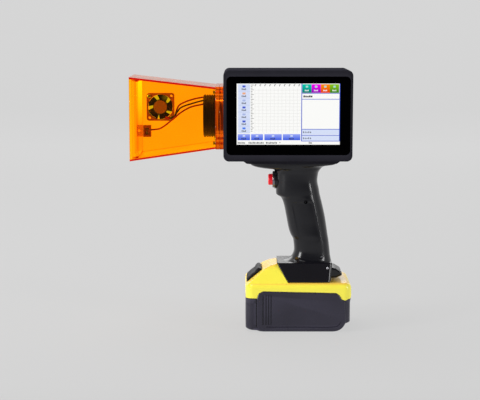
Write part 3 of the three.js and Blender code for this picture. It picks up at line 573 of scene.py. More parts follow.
LIT_FINISHES = {
    "white": lit("lit_white", (0.98, 0.98, 0.96)),
    "pale": lit("lit_pale", (0.68, 0.75, 0.95)),
    "grid": lit("lit_grid", (0.84, 0.84, 0.82)),
    "tick": lit("lit_tick", (0.12, 0.12, 0.12)),
    "ink": lit("lit_ink", (0.02, 0.02, 0.03)),
    "rule": lit("lit_rule", (0.05, 0.10, 0.62)),
    "pale_rule": lit("lit_pale_rule", (0.42, 0.50, 0.80)),
    "blue": lit("lit_blue", (0.08, 0.22, 0.85)),
    "warm": lit("lit_warm", (0.85, 0.40, 0.22)),
    "soft": lit("lit_soft", (0.45, 0.75, 0.70)),
    "button": lit("lit_button", (0.30, 0.38, 0.95), (0.04, 0.11, 0.75), BUTTON_ROW_Z),
    "teal": lit("lit_teal", (0.0, 0.62, 0.45), (0.0, 0.17, 0.15), TILE_ROW_Z),
    "magenta": lit("lit_magenta", (0.95, 0.0, 0.9), (0.25, 0.0, 0.45), TILE_ROW_Z),
    "orange": lit("lit_orange", (1.0, 0.30, 0.0), (0.80, 0.02, 0.0), TILE_ROW_Z),
    "green": lit("lit_green", (0.28, 0.60, 0.01), (0.02, 0.20, 0.01), TILE_ROW_Z),
}


# ---- screen housing -----------------------------------------------------------------------

WALL = 2.5
HOUSING_CORNER = 6
HOUSING_X, BEZEL_Y, HOUSING_Z = span("front_bezel")
GLASS_CORNER = 4.5
GLASS_X, GLASS_Y, GLASS_Z = span("touch_glass")
DISPLAY_X, DISPLAY_Y, DISPLAY_Z = span("display_panel")
LIT_X = inset(DISPLAY_X, 6.1)
LIT_Z = (DISPLAY_Z[0] + 7, DISPLAY_Z[1] - 4.3)
SEAM_GROOVE = 0.35


def upright_ring(x, z, corner, y):
    return [(u, y, v) for u, v in rounded_rectangle(x, z, corner)]


def housing_ring(by, y):
    return upright_ring(inset(HOUSING_X, by), inset(HOUSING_Z, by), max(HOUSING_CORNER - by, 1), y)


def glass_ring(by, y):
    return upright_ring(inset(GLASS_X, by), inset(GLASS_Z, by), GLASS_CORNER - by, y)


def front_bezel():
    front, seam = BEZEL_Y
    pocket = GLASS_Y[1] + 0.1
    rim = arc((1.6, 1.6), 1.6, 180, 270)
    opening = (inset(DISPLAY_X, -0.3), inset(DISPLAY_Z, -0.3), 1)
    frame_loop = loft("bezel_frame", [
        housing_ring(WALL, seam),
        housing_ring(SEAM_GROOVE, seam),
        housing_ring(0, seam - SEAM_GROOVE),
        *[housing_ring(by, front + depth) for by, depth in rim],
        glass_ring(-0.6, front),
        glass_ring(-0.3, front + 0.3),
        glass_ring(-0.3, pocket),
        upright_ring(*opening, pocket),
        upright_ring(*opening, pocket + 2),
        housing_ring(WALL, pocket + 2),
    ], closed=True)
    place(frame_loop, HOUSING, slot="housing_plastic", replaces="front_bezel")


REAR_SCREWS = [(x, z) for x in inset(HOUSING_X, 9) for z in inset(HOUSING_Z, 9)]
VENT_SLOTS_X = range(14, 46, 4)
VENT_SLOTS_Z = (204, 250)


def rear_housing():
    seam, back = span("rear_housing")[1]
    rim = arc((3, -3), 3, 180, 90)
    shell = loft("rear_shell", [
        housing_ring(WALL + 2.4, back - WALL),
        housing_ring(WALL, back - 5),
        housing_ring(WALL, seam),
        housing_ring(SEAM_GROOVE, seam),
        housing_ring(0, seam + SEAM_GROOVE),
        *[housing_ring(by, back + depth) for by, depth in rim],
    ])
    slots = [prism("slot", "y", rounded_rectangle((x, x + 1.6), VENT_SLOTS_Z, 0.78, 4), (back - 4, back + 1))
             for x in VENT_SLOTS_X]
    recesses = [lathe("recess", [(0, back - 1.4), (3.4, back - 1.4), (3.6, back + 1), (0, back + 1)],
                      "y", spot, 32) for spot in REAR_SCREWS]
    left = (HOUSING_X[0] - 1, HOUSING_X[0] + 2 * WALL)
    barrel = round_bar("hole", "x", BARREL_AXIS, BARREL_RADIUS + 0.3, left)
    combine(shell, joined("cuts", [*slots, *recesses, barrel]))
    place(shell, HOUSING, slot="housing_plastic", replaces="rear_housing")
    for number, spot in enumerate(REAR_SCREWS, 1):
        piece = screw(f"rear_screw_{number}", "y", spot, back - 1.35, 1, 2.7, 1.2, 6)
        place(piece, STEEL, slot="steel")


def screw(name, axis, centre, seat, outward, head, height, shank):
    """A pan-head screw with a hexagon socket. Its head sits on the seat and faces outward."""
    side = 0.5 * head

    def at(up):
        return seat + outward * up

    dome = [(head * 0.97 * math.sin(t), at(0.35 * height + 0.65 * height * math.cos(t)))
            for t in [math.pi / 2 * (1 - i / 6) for i in range(6)]]
    body = lathe(name, [(0, at(-shank)), (side, at(-shank)), (side, at(0)), (head, at(0)), *dome,
                        (0, at(height))], axis, centre, 32)
    hexagon = [(0.5 * head * math.cos(a) + centre[0], 0.5 * head * math.sin(a) + centre[1])
               for a in [math.pi / 3 * i for i in range(6)]]
    combine(body, prism("socket", axis, hexagon, sorted((at(0.25 * height), at(height + 1)))))
    return body


def touch_glass():
    front, back = GLASS_Y
    window = (inset(LIT_X, -0.05), inset(LIT_Z, -0.05), 0.3)
    glass = loft("cover_glass", [
        upright_ring(*window, back),
        glass_ring(0.2, back),
        glass_ring(0, back - 0.2),
        glass_ring(0, front + 0.4),
        glass_ring(0.12, front + 0.12),
        glass_ring(0.4, front),
        upright_ring(*window, front),
    ], end_material=1, crease=20)
    place(glass, [GLASS, CLEAR], slot="cover_glass", replaces="touch_glass")


def display_body():
    front = DISPLAY_Y[0] + 0.3
    body = block("display_body", DISPLAY_X, (front, DISPLAY_Y[1]), DISPLAY_Z)
    place(round_edges(body, 0.3), BLACK, slot="display", replaces="display_panel")


# ---- what the screen shows: plain blocks, rules and dashes --------------------------------

PICTURE = []


def tile(u, v, finish, level=1):
    """A lit block. u runs across the picture and v down it, both from 0 to 1."""
    x = [LIT_X[0] + f * (LIT_X[1] - LIT_X[0]) for f in u]
    z = [LIT_Z[1] - f * (LIT_Z[1] - LIT_Z[0]) for f in reversed(v)]
    PICTURE.append((x, z, level, finish))


def dashes(u, v, count, finish, level=2, fill=0.6):
    """A row of short marks that stand where writing would."""
    step = (u[1] - u[0]) / count
    for i in range(count):
        low = v[0] + (v[1] - v[0]) * 0.25 * ((i * 7) % 3) / 2
        tile((u[0] + i * step, u[0] + (i + fill) * step), (low, v[1]), finish, level)


def menu_column():
    rows = 7
    top, bottom = 0.013, 0.813
    step = (bottom - top) / rows
    tile((0.013, 0.129), (top, bottom), "pale")
    for row in range(rows):
        start = top + row * step
        icon = ("rule", "warm", "pale_rule", "rule", "pale_rule", "rule", "blue")[row]
        tile((0.055, 0.085), (start + 0.018, start + 0.05), icon, 2)
        dashes((0.048, 0.094), (start + 0.064, start + 0.092), 4, "ink")
        tile((0.013, 0.129), (start + step - 0.006, start + step - 0.002), "pale_rule", 2)


def drawing_area():
    left, right, top, bottom = 0.137, 0.622, 0.05, 0.81
    for i in range(1, 13):
        u = left + (right - left) * i / 13
        tile((u, u + 0.004), (top + 0.03, bottom), "grid")
    for i in range(1, 14):
        v = top + (bottom - top) * i / 14
        tile((left + 0.035, right), (v, v + 0.007), "grid")
    for i in range(10):
        u = 0.175 + i * 0.047
        tile((u, u + 0.006), (0.018, 0.045), "tick", 2)
        tile((u + 0.006, u + 0.014), (0.012, 0.024), "tick", 2)
    for i in range(30):
        v = 0.02 + i * 0.026
        tile((0.136, 0.136 + (0.016 if i % 3 else 0.028)), (v, v + 0.008), "tick", 2)


def button_row():
    for low, high in ((0.010, 0.129), (0.139, 0.255), (0.268, 0.437), (0.447, 0.617)):
        tile((low, high), (0.827, 0.927), "button")
        centre = (low + high) / 2
        tile((centre - 0.012, centre + 0.012), (0.845, 0.868), "pale", 2)
        dashes((centre - 0.024, centre + 0.024), (0.89, 0.916), 4, "ink")


def status_row():
    dashes((0.01, 0.085), (0.955, 0.985), 6, "ink")
    dashes((0.115, 0.265), (0.955, 0.985), 11, "ink")
    dashes((0.285, 0.395), (0.955, 0.985), 8, "ink")
    dashes((0.415, 0.43), (0.96, 0.975), 1, "ink")
    dashes((0.70, 0.735), (0.955, 0.985), 3, "ink")


def side_pane():
    left, right = 0.625, 1.0
    tile((left, left + 0.008), (0.0, 0.94), "rule")
    tile((right - 0.007, right), (0.0, 0.94), "rule")
    for v in (0.155, 0.25, 0.742, 0.842, 0.937):
        tile((left, right), (v, v + 0.01), "rule")
    tile_width = (right - left - 0.02) / 4
    for i, colour in enumerate(("teal", "magenta", "orange", "green")):
        low = left + 0.009 + i * tile_width
        tile((low, low + tile_width), (0.01, 0.152), colour)
        centre = low + tile_width / 2
        tile((centre - 0.011, centre + 0.011), (0.035, 0.065), "soft", 2)
        dashes((centre - 0.02, centre + 0.02), (0.1, 0.124), 4, "white")
    dashes((0.645, 0.735), (0.193, 0.225), 5, "ink", fill=0.8)
    for v in (0.752, 0.852):
        tile((left + 0.008, right - 0.007), (v, v + 0.085), "pale")
        dashes((0.643, 0.73), (v + 0.03, v + 0.056), 5, "ink", fill=0.45)


def screen_picture():
    back = DISPLAY_Y[0] + 0.3
    tile((0, 1), (0, 1), "white", 0)
    menu_column()
    drawing_area()
    button_row()
    status_row()
    side_pane()
    names = list(LIT_FINISHES)
    points, faces, materials = [], [], []
    for x, z, level, finish in PICTURE:
        front = back - 0.06 * (level + 1)
        base = len(points)
        points += [(u, y, v) for y in (front, back - 0.01) for u, v in
                   ((x[0], z[0]), (x[1], z[0]), (x[1], z[1]), (x[0], z[1]))]
        around = [(i, (i + 1) % 4, (i + 1) % 4 + 4, i + 4) for i in range(4)]
        faces += [tuple(base + i for i in face) for face in [(3, 2, 1, 0), (4, 5, 6, 7), *around]]
        materials += [names.index(finish)] * 6
    picture = make_object("screen_picture", points, faces, materials)
    place(picture, [LIT_FINISHES[name] for name in names], slot="display")


# ---- optics -------------------------------------------------------------------------------

RING_X, _, RING_Z = span("lens_ring")
BARREL_X = span("lens_barrel")[0]
BARREL_AXIS = (0, middle(RING_Z))
RING_RADIUS = (RING_Z[1] - RING_Z[0]) / 2
BARREL_RADIUS = 12


def lens_ring():
    """A dark knurled ring, whose front has a stepped mouth."""
    front, back = RING_X
    groove, land, depth = 1.1, 1.5, 0.9
    profile = [(BARREL_RADIUS + 0.2, back), (RING_RADIUS - 0.7, back)]
    profile += arc((RING_RADIUS - 0.7, back - 0.7), 0.7, 90, 0, 3)
    at = back - 1.9
    for _ in range(4):
        profile += [(RING_RADIUS, at), (RING_RADIUS - depth, at - 0.25),
                    (RING_RADIUS - depth, at - groove + 0.25), (RING_RADIUS, at - groove)]
        at -= groove + land - 0.15
    profile += [(RING_RADIUS, front + 1.6), *arc((RING_RADIUS - 1.2, front + 1.2), 1.2, 0, -90, 4)]
    seat = BARREL_X[0] - 0.1
    profile += [(18.2, front), (17.2, front + 1), (17, seat), (BARREL_RADIUS + 0.2, seat)]
    ring = lathe("lens_ring_body", profile, "x", BARREL_AXIS, 96)
    place(ring, LENS_METAL, slot="lens_metal", replaces="lens_ring")


def lens_barrel():
    front, back = BARREL_X
    flange, inner = span("shield_flange_outer")[0][0] - 0.2, span("shield_flange_inner")[0][1] - 0.2
    bore = BARREL_RADIUS - 2
    profile = [
        (bore, front), (BARREL_RADIUS - 0.3, front), (BARREL_RADIUS, front + 0.3),
        (BARREL_RADIUS, flange), (19.6, flange), (20, flange + 0.4),
        (20, inner - 0.4), (19.6, inner), (BARREL_RADIUS, inner),
        (BARREL_RADIUS, back - 0.3), (BARREL_RADIUS - 0.3, back), (bore, back),
    ]
    place(lathe("lens_tube", profile, "x", BARREL_AXIS, 72), LENS_METAL, slot="lens_metal",
          replaces="lens_barrel")


def lens_window():
    (front, back), _, z = span("lens_window")
    radius = (z[1] - z[0]) / 2
    turns = [math.pi / 2 * i / 8 for i in range(1, 8)]
    bulge = [(radius * math.sin(t), front - 0.9 * math.cos(t) + 0.5) for t in turns]
    profile = [(0, front - 0.4), *bulge, (radius, front + 0.5), (radius, back - 0.2), (radius - 0.2, back),
               (0, back)]
    place(lathe("lens_window_disc", profile, "x", BARREL_AXIS, 64), LENS_GLASS, slot="lens_glass",
          replaces="lens_window")


# ---- amber shield -------------------------------------------------------------------------

PLATE = 2
BOTTOM_Z = span("shield_bottom_plate")[2]
TOP_EDGE = (TOP_Z[1], TOP_Z[0] + PLATE)
BOTTOM_EDGE = (BOTTOM_Z[0], BOTTOM_Z[1] - PLATE)
STRIP_X = span("mouth_strip_back_side")[0]
VENT_RADIUS = 13
BOLT_HEAD_HEIGHT = 3
SHEET, EDGE = 0, 1
SHEETS = {
    "shield_screen_side_plate": AMBER_NEAR,
    "mouth_strip_screen_side": NEAR_STRIP,
    "mouth_strip_back_side": STRIP_AMBER,
    "mouth_strip_bottom": FOOT_AMBER,
    "shield_bottom_plate": FOOT_AMBER,
}


def edge_at(edge, x):
    """The height at x of an edge that runs straight from the mouth to the rear."""
    return edge[0] + (x - MOUTH_X) / (REAR_X - MOUTH_X) * (edge[1] - edge[0])


def sloping_plate(name, edge, inward, x, depths, y, replaced):
    """The top or bottom plate, or its mouth strip, between two depths inside the shield's edge."""
    outline = [(at, edge_at(edge, at) - inward * depth) for at, depth in
               ((x[0], depths[0]), (x[0], depths[1]), (x[1], depths[1]), (x[1], depths[0]))]
    plate = prism(name, "y", outline, y, [EDGE, SHEET, EDGE, SHEET], EDGE)
    return finish_plate(plate, replaced)


def upright_plate(name, x, clear, y, replaced, hole=None):
    """A side plate or its mouth strip, as far as the top and bottom plates leave clear."""
    outline = [(x[0], edge_at(BOTTOM_EDGE, x[0]) + clear), (x[1], edge_at(BOTTOM_EDGE, x[1]) + clear),
               (x[1], edge_at(TOP_EDGE, x[1]) - clear), (x[0], edge_at(TOP_EDGE, x[0]) - clear)]
    plate = prism(name, "y", outline, y, [EDGE] * 4, SHEET)
    if hole:
        combine(plate, hole)
    return finish_plate(plate, replaced)


def finish_plate(plate, replaced):
    round_edges(plate, 0.25, 2)
    sheet = SHEETS.get(replaced, AMBER)
    return place(plate, [sheet, AMBER_EDGE], slot="amber_acrylic", replaces=replaced)


def shield():
    whole = (MOUTH_X, REAR_X)
    between = inset(SHIELD_Y, 2 * PLATE + 0.2)
    near, far = SHIELD_Y
    sloping_plate("amber_top", TOP_EDGE, 1, whole, (0, PLATE), SHIELD_Y, "shield_top_plate")
    sloping_plate("amber_bottom", BOTTOM_EDGE, -1, whole, (0, PLATE), SHIELD_Y, "shield_bottom_plate")
    lining = (PLATE + 0.1, 2 * PLATE)
    sloping_plate("amber_strip_top", TOP_EDGE, 1, STRIP_X, lining, between, "mouth_strip_top")
    sloping_plate("amber_strip_bottom", BOTTOM_EDGE, -1, STRIP_X, lining, between, "mouth_strip_bottom")
    clear = PLATE + 0.05
    upright_plate("amber_near", whole, clear, (near, near + PLATE), "shield_screen_side_plate")
    hole = round_bar("vent", "y", FAN_CENTRE, VENT_RADIUS, (far - 4, far + 1), 64)
    upright_plate("amber_far", whole, clear, (far - PLATE, far), "shield_back_side_plate", hole)
    upright_plate("amber_strip_near", STRIP_X, PLATE + 0.1, (near + PLATE + 0.1, near + 2 * PLATE + 0.1),
                  "mouth_strip_screen_side")
    upright_plate("amber_strip_far", STRIP_X, PLATE + 0.1, (far - 2 * PLATE - 0.1, far - PLATE - 0.1),
                  "mouth_strip_back_side")


def flange_screws():
    for number in range(1, 5):
        node = f"flange_screw_{number}"
        (tip, rear), y, z = span(node)
        head = (y[1] - y[0]) / 2
        seat = tip + BOLT_HEAD_HEIGHT
        spot = (middle(y), middle(z))
        piece = screw(f"neck_bolt_{number}", "x", spot, seat, -1, head, BOLT_HEAD_HEIGHT, rear - seat)
        place(piece, STEEL, slot="steel", replaces=node)


# ---- fan, sensor and leads ----------------------------------------------------------------

FAN_X, FAN_Y, FAN_Z = span("fan_frame")
FAN_CENTRE = (middle(FAN_X), middle(FAN_Z))
HUB = 7.9
FAN_REACH = 13.3


def fan_blade(turn):
    """A broad pitched blade. Its sections step outwards from the hub, and each sweeps back a little."""
    across, wide, thick = 8, math.radians(55), 0.8
    front, rise = FAN_Y[0] + 1.4, 5.6
    rings = []
    for step in range(6):
        radius = HUB - 0.8 + (FAN_REACH - HUB + 0.8) * step / 5
        swept = turn + math.radians(9) * step / 5
        line = []
        for i in range(across + 1):
            share = i / across
            angle = swept + wide * share
            y = front + rise * (share + 0.12 * math.sin(math.pi * share))
            line.append((FAN_CENTRE[0] + radius * math.cos(angle), y,
                         FAN_CENTRE[1] + radius * math.sin(angle)))
        back = [(x, y + thick, z) for x, y, z in reversed(line)]
        rings.append(line + back)
    return loft("blade", rings, crease=40)


def fan_rotor():
    front, back = FAN_Y[0] + 0.5, FAN_Y[1] - 1.8
    hub_profile = [(0, front), (HUB - 0.5, front), *arc((HUB - 0.5, front + 0.5), 0.5, -90, 0, 4)[1:],
                   (HUB, back), (HUB - 1, back), (HUB - 1, back - 1), (0, back - 1)]
    rotor = lathe("rotor", hub_profile, "y", FAN_CENTRE, 64)
    for blade in range(5):
        combine(rotor, fan_blade(math.radians(42 + 72 * blade)), "UNION")
    place(rotor, FAN_PLASTIC, body="fan", slot="black_plastic", replaces="fan_rotor")
    label_edge = [(7.2, front - 0.12), (7.3, front)]
    label = lathe("hub_label", [(0, front - 0.12), *label_edge, (0, front)], "y", FAN_CENTRE, 64)
    place(label, LABEL, body="fan", slot="black_plastic")


def fan_screws():
    for number, (u, v) in enumerate(((-12, 12), (12, -12)), 1):
        spot = (FAN_CENTRE[0] + u, FAN_CENTRE[1] + v)
        piece = screw(f"fan_screw_{number}", "y", spot, FAN_Y[0] - 0.02, -1, 2.3, 1.3, 9)
        place(piece, STEEL, slot="steel")


LEAD_RADIUS = 0.9
LEAD_HOLE = (27, 246.4)
LEADS = {
    "fan_lead_upper": ("lead_one", 0, 1.15, [
        (-134.3, 26, 226.6), (-133.4, 26, 226.9), (-132.7, 25.9, 230.6), (-129.5, 25.4, 238.3),
        (-123.8, 25, 241.9), (-113.3, 24.7, 245.6), (-102.6, 24.7, 247.6)]),
    "fan_lead_lower": ("lead_two", -1, -0.6, [
        (-139.5, 22.6, 224.5), (-139.3, 21.8, 224.7), (-137.6, 21.4, 225.5), (-134, 22, 227.4),
        (-131.8, 23, 230.6), (-127.4, 23.7, 236.1), (-113.3, 24, 241.3), (-102.6, 24, 244.1)]),
    "sensor_lead": ("lead_three", 1, -0.6, [
        (-160.05, 28.5, 211.7), (-156, 28.2, 212), (-150.1, 26.5, 213.3), (-143.9, 23.6, 217.3),
        (-139.2, 21.5, 221.2), (-133.6, 20.9, 225.6), (-129.1, 21.8, 229.6), (-119.1, 23.6, 235.8),
        (-113.3, 24, 237.9), (-102.6, 24.2, 240.3)]),
}


def leads():
    """The leads on the back plate, clipped from their pieces to the grommet in the neck."""
    for node, (name, across_y, across_z, points) in LEADS.items():
        y, z = LEAD_HOLE[0] + across_y, LEAD_HOLE[1] + across_z
        path = smooth_path([*points, (-91, y, z), (-84, y, z), (-74, y, z)])
        sheath = LEAD_RED if across_y >= 0 else BLACK
        place(tube(name, path, LEAD_RADIUS), sheath, slot="cable_sheath", replaces=node)
    start = Vector((-144.2, 21.7, 225.9))
    sleeve_path = [start, start + Vector((2.6, 0.1, -0.8)), start + Vector((5, 0, -1))]
    sleeve = tube("lead_sleeve", sleeve_path, 1.3, 16)
    place(round_edges(sleeve, 0.2, 2, 50), LEAD_RED, slot="cable_sheath")


def grommet():
    (front, back), y, _ = span("lead_grommet")
    lip = (y[1] - y[0]) / 2
    sleeve = lip - 1.1
    profile = [(2.4, front + 0.3), (2.7, front), *arc((lip - 0.6, front + 0.6), 0.6, -90, 0, 3),
               (lip, front + 1.15), (sleeve, front + 1.15), (sleeve, back), (2.4, back)]
    ring = lathe("grommet_ring", profile, "x", LEAD_HOLE, 40)
    place(ring, BLACK, slot="cable_sheath", replaces="lead_grommet")


def sensor():
    (left, right), (front, back), (low, high) = span("sensor_housing")
    body = block("sensor_body", (left, right), (front, back), (low, high))
    pocket = block("pocket", inset((left, right), 1.8), (front - 1, front + 1.2), inset((low, high), 2.6))
    combine(body, pocket)
    place(round_edges(body, 0.35), SENSOR_BODY, slot="black_plastic", replaces="sensor_housing")
    lamp = middle((low, high))
    dome = [(0, front + 0.2), (0.8, front + 0.3), (1.4, front + 0.8), (1.5, front + 1.3), (0, front + 1.3)]
    for number, z in enumerate((lamp - 2.1, lamp + 2.1), 1):
        eye = lathe(f"sensor_eye_{number}", dome, "y", (middle((left, right)), z), 24)
        place(eye, LENS_GLASS, slot="lens_glass")
    (left, right), (front, back), (low, high) = span("sensor_board")
    board = block("sensor_plate", (left, right), (front, back), (low, high))
    spot = (left + 2.6, middle((low, high)))
    combine(board, round_bar("hole", "y", spot, 1.5, (front - 1, back + 1), 24))
    place(round_edges(board, 0.12, 2), BOARD, slot="sensor_board", replaces="sensor_board")


# ---- handle -------------------------------------------------------------------------------

# Each section of the grip: its level, its front edge and back edge along x, and its half width.
GRIP_SECTIONS = [
    (72.3, -14.8, 36.8, 20.6), (74, -9.6, 36.4, 19), (77.6, -5.5, 35.7, 17.6), (84, -3.6, 35, 17.2),
    (95, -4.6, 33.7, 17.5), (101, -7.6, 32.7, 18), (107, -9.6, 31.8, 18.2), (120, -12.2, 29.7, 18.6),
    (134, -15.1, 26.6, 19), (141, -18, 24.8, 19.3), (145.3, -23.4, 23.8, 19.6), (150, -23.6, 23, 19.8),
    (160, -23.6, 21.2, 20), (168, -23.9, 22.2, 20.5), (170, -24.8, 23.1, 21), (172.5, -28.5, 24.9, 21.5),
    (174, -43, 26.4, 22.5), (176, -49.9, 31, 23.5), (177.4, -51.3, 41, 24), (179.4, -51.6, 41.3, 24.2),
]
GRIP_SQUARENESS = 2.4
GRIP_WALL = 2.6
INSIDE_FLOOR = 75.5
GRIP_PANEL = rounded_corners([(-7, 137), (15, 138), (24, 97), (17, 90.5), (7, 91), (1, 99)],
                             [2, 3, 5, 5, 4, 8])
REAR_CREASE = ((13.5, 160), (26.5, 97))
TRIGGER_X, _, TRIGGER_Z = span("trigger_bezel")
TRIGGER_AXIS = (0, middle(TRIGGER_Z))


def handle_screw_spot(number):
    x, _, z = span(f"handle_screw_{number}")
    return (middle(x), middle(z))


HANDLE_SCREWS = [handle_screw_spot(number) for number in (1, 2)]


def smoothstep(value, low, high):
    share = min(max((value - low) / (high - low), 0), 1)
    return share * share * (3 - 2 * share)


def monotone_slopes(xs, ys):
    """Slopes of a curve through the points that doesn't overshoot them."""
    steps = [(y1 - y0) / (x1 - x0) for x0, x1, y0, y1 in zip(xs, xs[1:], ys, ys[1:])]
    inside = [2 * a * b / (a + b) if a * b > 0 else 0 for a, b in zip(steps, steps[1:])]
    return [steps[0], *inside, steps[-1]]


LEVELS = [section[0] for section in GRIP_SECTIONS]
GRIP_CURVES = [(column, monotone_slopes(LEVELS, column)) for column in list(zip(*GRIP_SECTIONS))[1:]]


def grip_section(z):
    """The grip's front edge, back edge and half width at a level."""
    i = max(k for k in range(len(LEVELS) - 1) if LEVELS[k] <= z)
    length = LEVELS[i + 1] - LEVELS[i]
    t = (z - LEVELS[i]) / length
    values = []
    for column, slopes in GRIP_CURVES:
        values.append((2 * t**3 - 3 * t**2 + 1) * column[i] + (t**3 - 2 * t**2 + t) * length * slopes[i]
                      + (3 * t**2 - 2 * t**3) * column[i + 1] + (t**3 - t**2) * length * slopes[i + 1])
    return values


def distance_inside(outline, x, z):
    """How far a point lies inside an outline, negative outside."""
    spot = Vector((x, z))
    nearest = 1e9
    within = False
    for a, b in zip(outline, outline[1:] + outline[:1]):
        start, along = Vector(a), Vector(b) - Vector(a)
        share = min(max((spot - start).dot(along) / along.length_squared, 0), 1)
        nearest = min(nearest, (spot - start - share * along).length)
        if (a[1] > z) != (b[1] > z) and x < a[0] + (z - a[1]) / (b[1] - a[1]) * (b[0] - a[0]):
            within = not within
    return nearest if within else -nearest


def side_relief(x, z):
    """How far the grip's side is sunk at a point of its side view."""
    panel = 0.9 * smoothstep(distance_inside(GRIP_PANEL, x, z), -0.7, 0.7) * smoothstep(z, 90, 116)
    top, foot = REAR_CREASE
    share = (z - top[1]) / (foot[1] - top[1])
    behind = x - (top[0] + share * (foot[0] - top[0]))
    ends = smoothstep(share, -0.06, 0.08) * (1 - smoothstep(share, 0.9, 1.06))
    return panel + 1.3 * ends * smoothstep(behind, -0.8, 0.9)


def grip_ring(z, by, count):
    """A section of the grip, moved inwards by a distance. Only the outer one carries the side's relief."""
    front, back, half = grip_section(z)
    ring = []
    for i in range(count):
        angle = 2 * math.pi * (i + 0.5) / count
        c, s = math.cos(angle), math.sin(angle)
        x = (front + back) / 2 + ((back - front) / 2 - by) * math.copysign(abs(c) ** (2 / GRIP_SQUARENESS), c)
        y = (half - by) * math.copysign(abs(s) ** (2 / GRIP_SQUARENESS), s)
        if by == 0:
            y -= math.copysign(min(side_relief(x, z), abs(y)), y)
        ring.append((x, y, z))
    return ring


def grip_side(x, z):
    """How far the grip's side lies from the middle plane at a point of its side view."""
    front, back, half = grip_section(z)
    across = abs(2 * x - front - back) / (back - front)
    return half * (1 - across ** GRIP_SQUARENESS) ** (1 / GRIP_SQUARENESS) - side_relief(x, z)


def whole_handle():
    """The hollow grip before it is parted, with the boss and the bore for the trigger."""
    low, high = LEVELS[0], LEVELS[-1]
    top = high - 0.001
    outer = loft("handle", [grip_ring(min(low + (high - low) * i / 190, top), 0, 112) for i in range(191)],
                 crease=60)
    inner_rings = []
    for i in range(31):
        z = INSIDE_FLOOR + (high + 4 - INSIDE_FLOOR) * i / 30
        inner_rings.append([(x, y, z) for x, y, _ in grip_ring(min(z, top), GRIP_WALL, 40)])
    inner = loft("inside", inner_rings)
    boss = round_bar("boss", "x", TRIGGER_AXIS, 10, (TRIGGER_X[0] + 2.2, -12))
    combine(outer, boss, "UNION")
    combine(outer, inner)
    combine(outer, round_bar("bore", "x", TRIGGER_AXIS, 8.1, (TRIGGER_X[0] - 1, -11)))
    return outer


def handle():
    whole = whole_handle()
    for side, near in (("near", True), ("far", False)):
        shell = whole.copy()
        shell.data = whole.data.copy()
        shell.name = f"grip_half_{side}"
        bpy.context.scene.collection.objects.link(shell)
        room = (-60, -0.06) if near else (0.06, 60)
        combine(shell, block("half", (-80, 80), room, (60, 190)), "INTERSECT")
        if near:
            recesses = [round_bar("recess", "y", spot, 1.9, (-30, -9.9), 32) for spot in HANDLE_SCREWS]
            combine(shell, joined("recesses", recesses))
        shade(shell.data, 45)
        node = "handle_shell_screen_side" if near else "handle_shell_back_side"
        place(shell, GRIP, slot="grip_plastic", replaces=node)
    bpy.data.objects.remove(whole)
    for number, spot in enumerate(HANDLE_SCREWS, 1):
        node = f"handle_screw_{number}"
        tip = span(node)[1][1]
        height = grip_side(*spot) - 0.6 - 10
        piece = screw(f"grip_screw_{number}", "y", spot, -10.02, -1, 1.8, height, tip + 10)
        # The second screw takes the pale paint of a painted glint, and the first stays dark steel.
        place(piece, DARK_STEEL if number == 1 else SCREW_GLINT, slot="steel", replaces=node)


def plinth():
    x, y, z = span("handle_plinth")
    rings = []
    for by, level in ((4.4, z[0]), (3.9, z[0] + 0.5), (0.6, z[1] - 0.8), (0, z[1] - 0.2), (0.2, z[1])):
        outline = rounded_rectangle(inset(x, by), inset(y, by * 0.4), 6)
        rings.append([(u, v, level) for u, v in outline])
    place(loft("plinth_block", rings), HOUSING, slot="housing_plastic", replaces="handle_plinth")


def trigger():
    (front, rear), _, z = span("trigger_bezel")
    outer = (z[1] - z[0]) / 2
    bore = (span("trigger_button")[2][1] - span("trigger_button")[2][0]) / 2 + 0.3
    profile = [(bore, front + 0.4), (bore + 0.5, front), (outer - 1.1, front)]
    profile += arc((outer - 0.9, front + 0.9), 0.9, -90, 0, 4)
    profile += [(outer, front + 2.2), (7.8, front + 2.2), (7.8, rear), (bore, rear)]
    ring = lathe("trigger_ring", profile, "x", TRIGGER_AXIS, 64)
    place(ring, DARK_STEEL, slot="steel", replaces="trigger_bezel")
    (tip, rear), _, z = span("trigger_button")
    radius = (z[1] - z[0]) / 2
    cap = [(0, tip + 0.35), (radius * 0.55, tip + 0.2), (radius - 1.5, tip)]
    cap += arc((radius - 1.2, tip + 1.2), 1.2, -90, 0, 5)[1:]
    cap += [(radius, rear - 0.3), (radius - 0.3, rear), (0, rear)]
    place(lathe("trigger_cap", cap, "x", TRIGGER_AXIS, 64), BUTTON, body="trigger", slot="button_plastic",
          replaces="trigger_button")


def spring(name, node, body, start, along, length, radius, turns):
    """A compression spring, a coil of wire along a direction from its start. Its fixed end is the far one on
    the main unit and the near one in the pack."""
    ahead = Vector(along).normalized()
    side = ahead.cross(Vector((0, 1, 0))).normalized()
    up = ahead.cross(side)
    wire = 0.45
    path = []
    steps = round(turns * 24)
    for i in range(steps + 1):
        turn = 2 * math.pi * turns * i / steps
        rise = wire + (length - 2 * wire) * i / steps
        path.append(Vector(start) + rise * ahead + radius * (math.cos(turn) * side + math.sin(turn) * up))
    coil = place(tube(name, path, wire, 10), STEEL, body=body, slot="steel", replaces=node)
    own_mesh(coil)


def trigger_spring():
    (front, back), _, z = span("trigger_spring")
    spring("trigger_coil", "trigger_spring", "main_unit", (front, 0, middle(z)), (1, 0, 0),
           back - front, 3, 3)


# ---- foot ---------------------------------------------------------------------------------

FOOT_Z = span("foot_housing")[2]
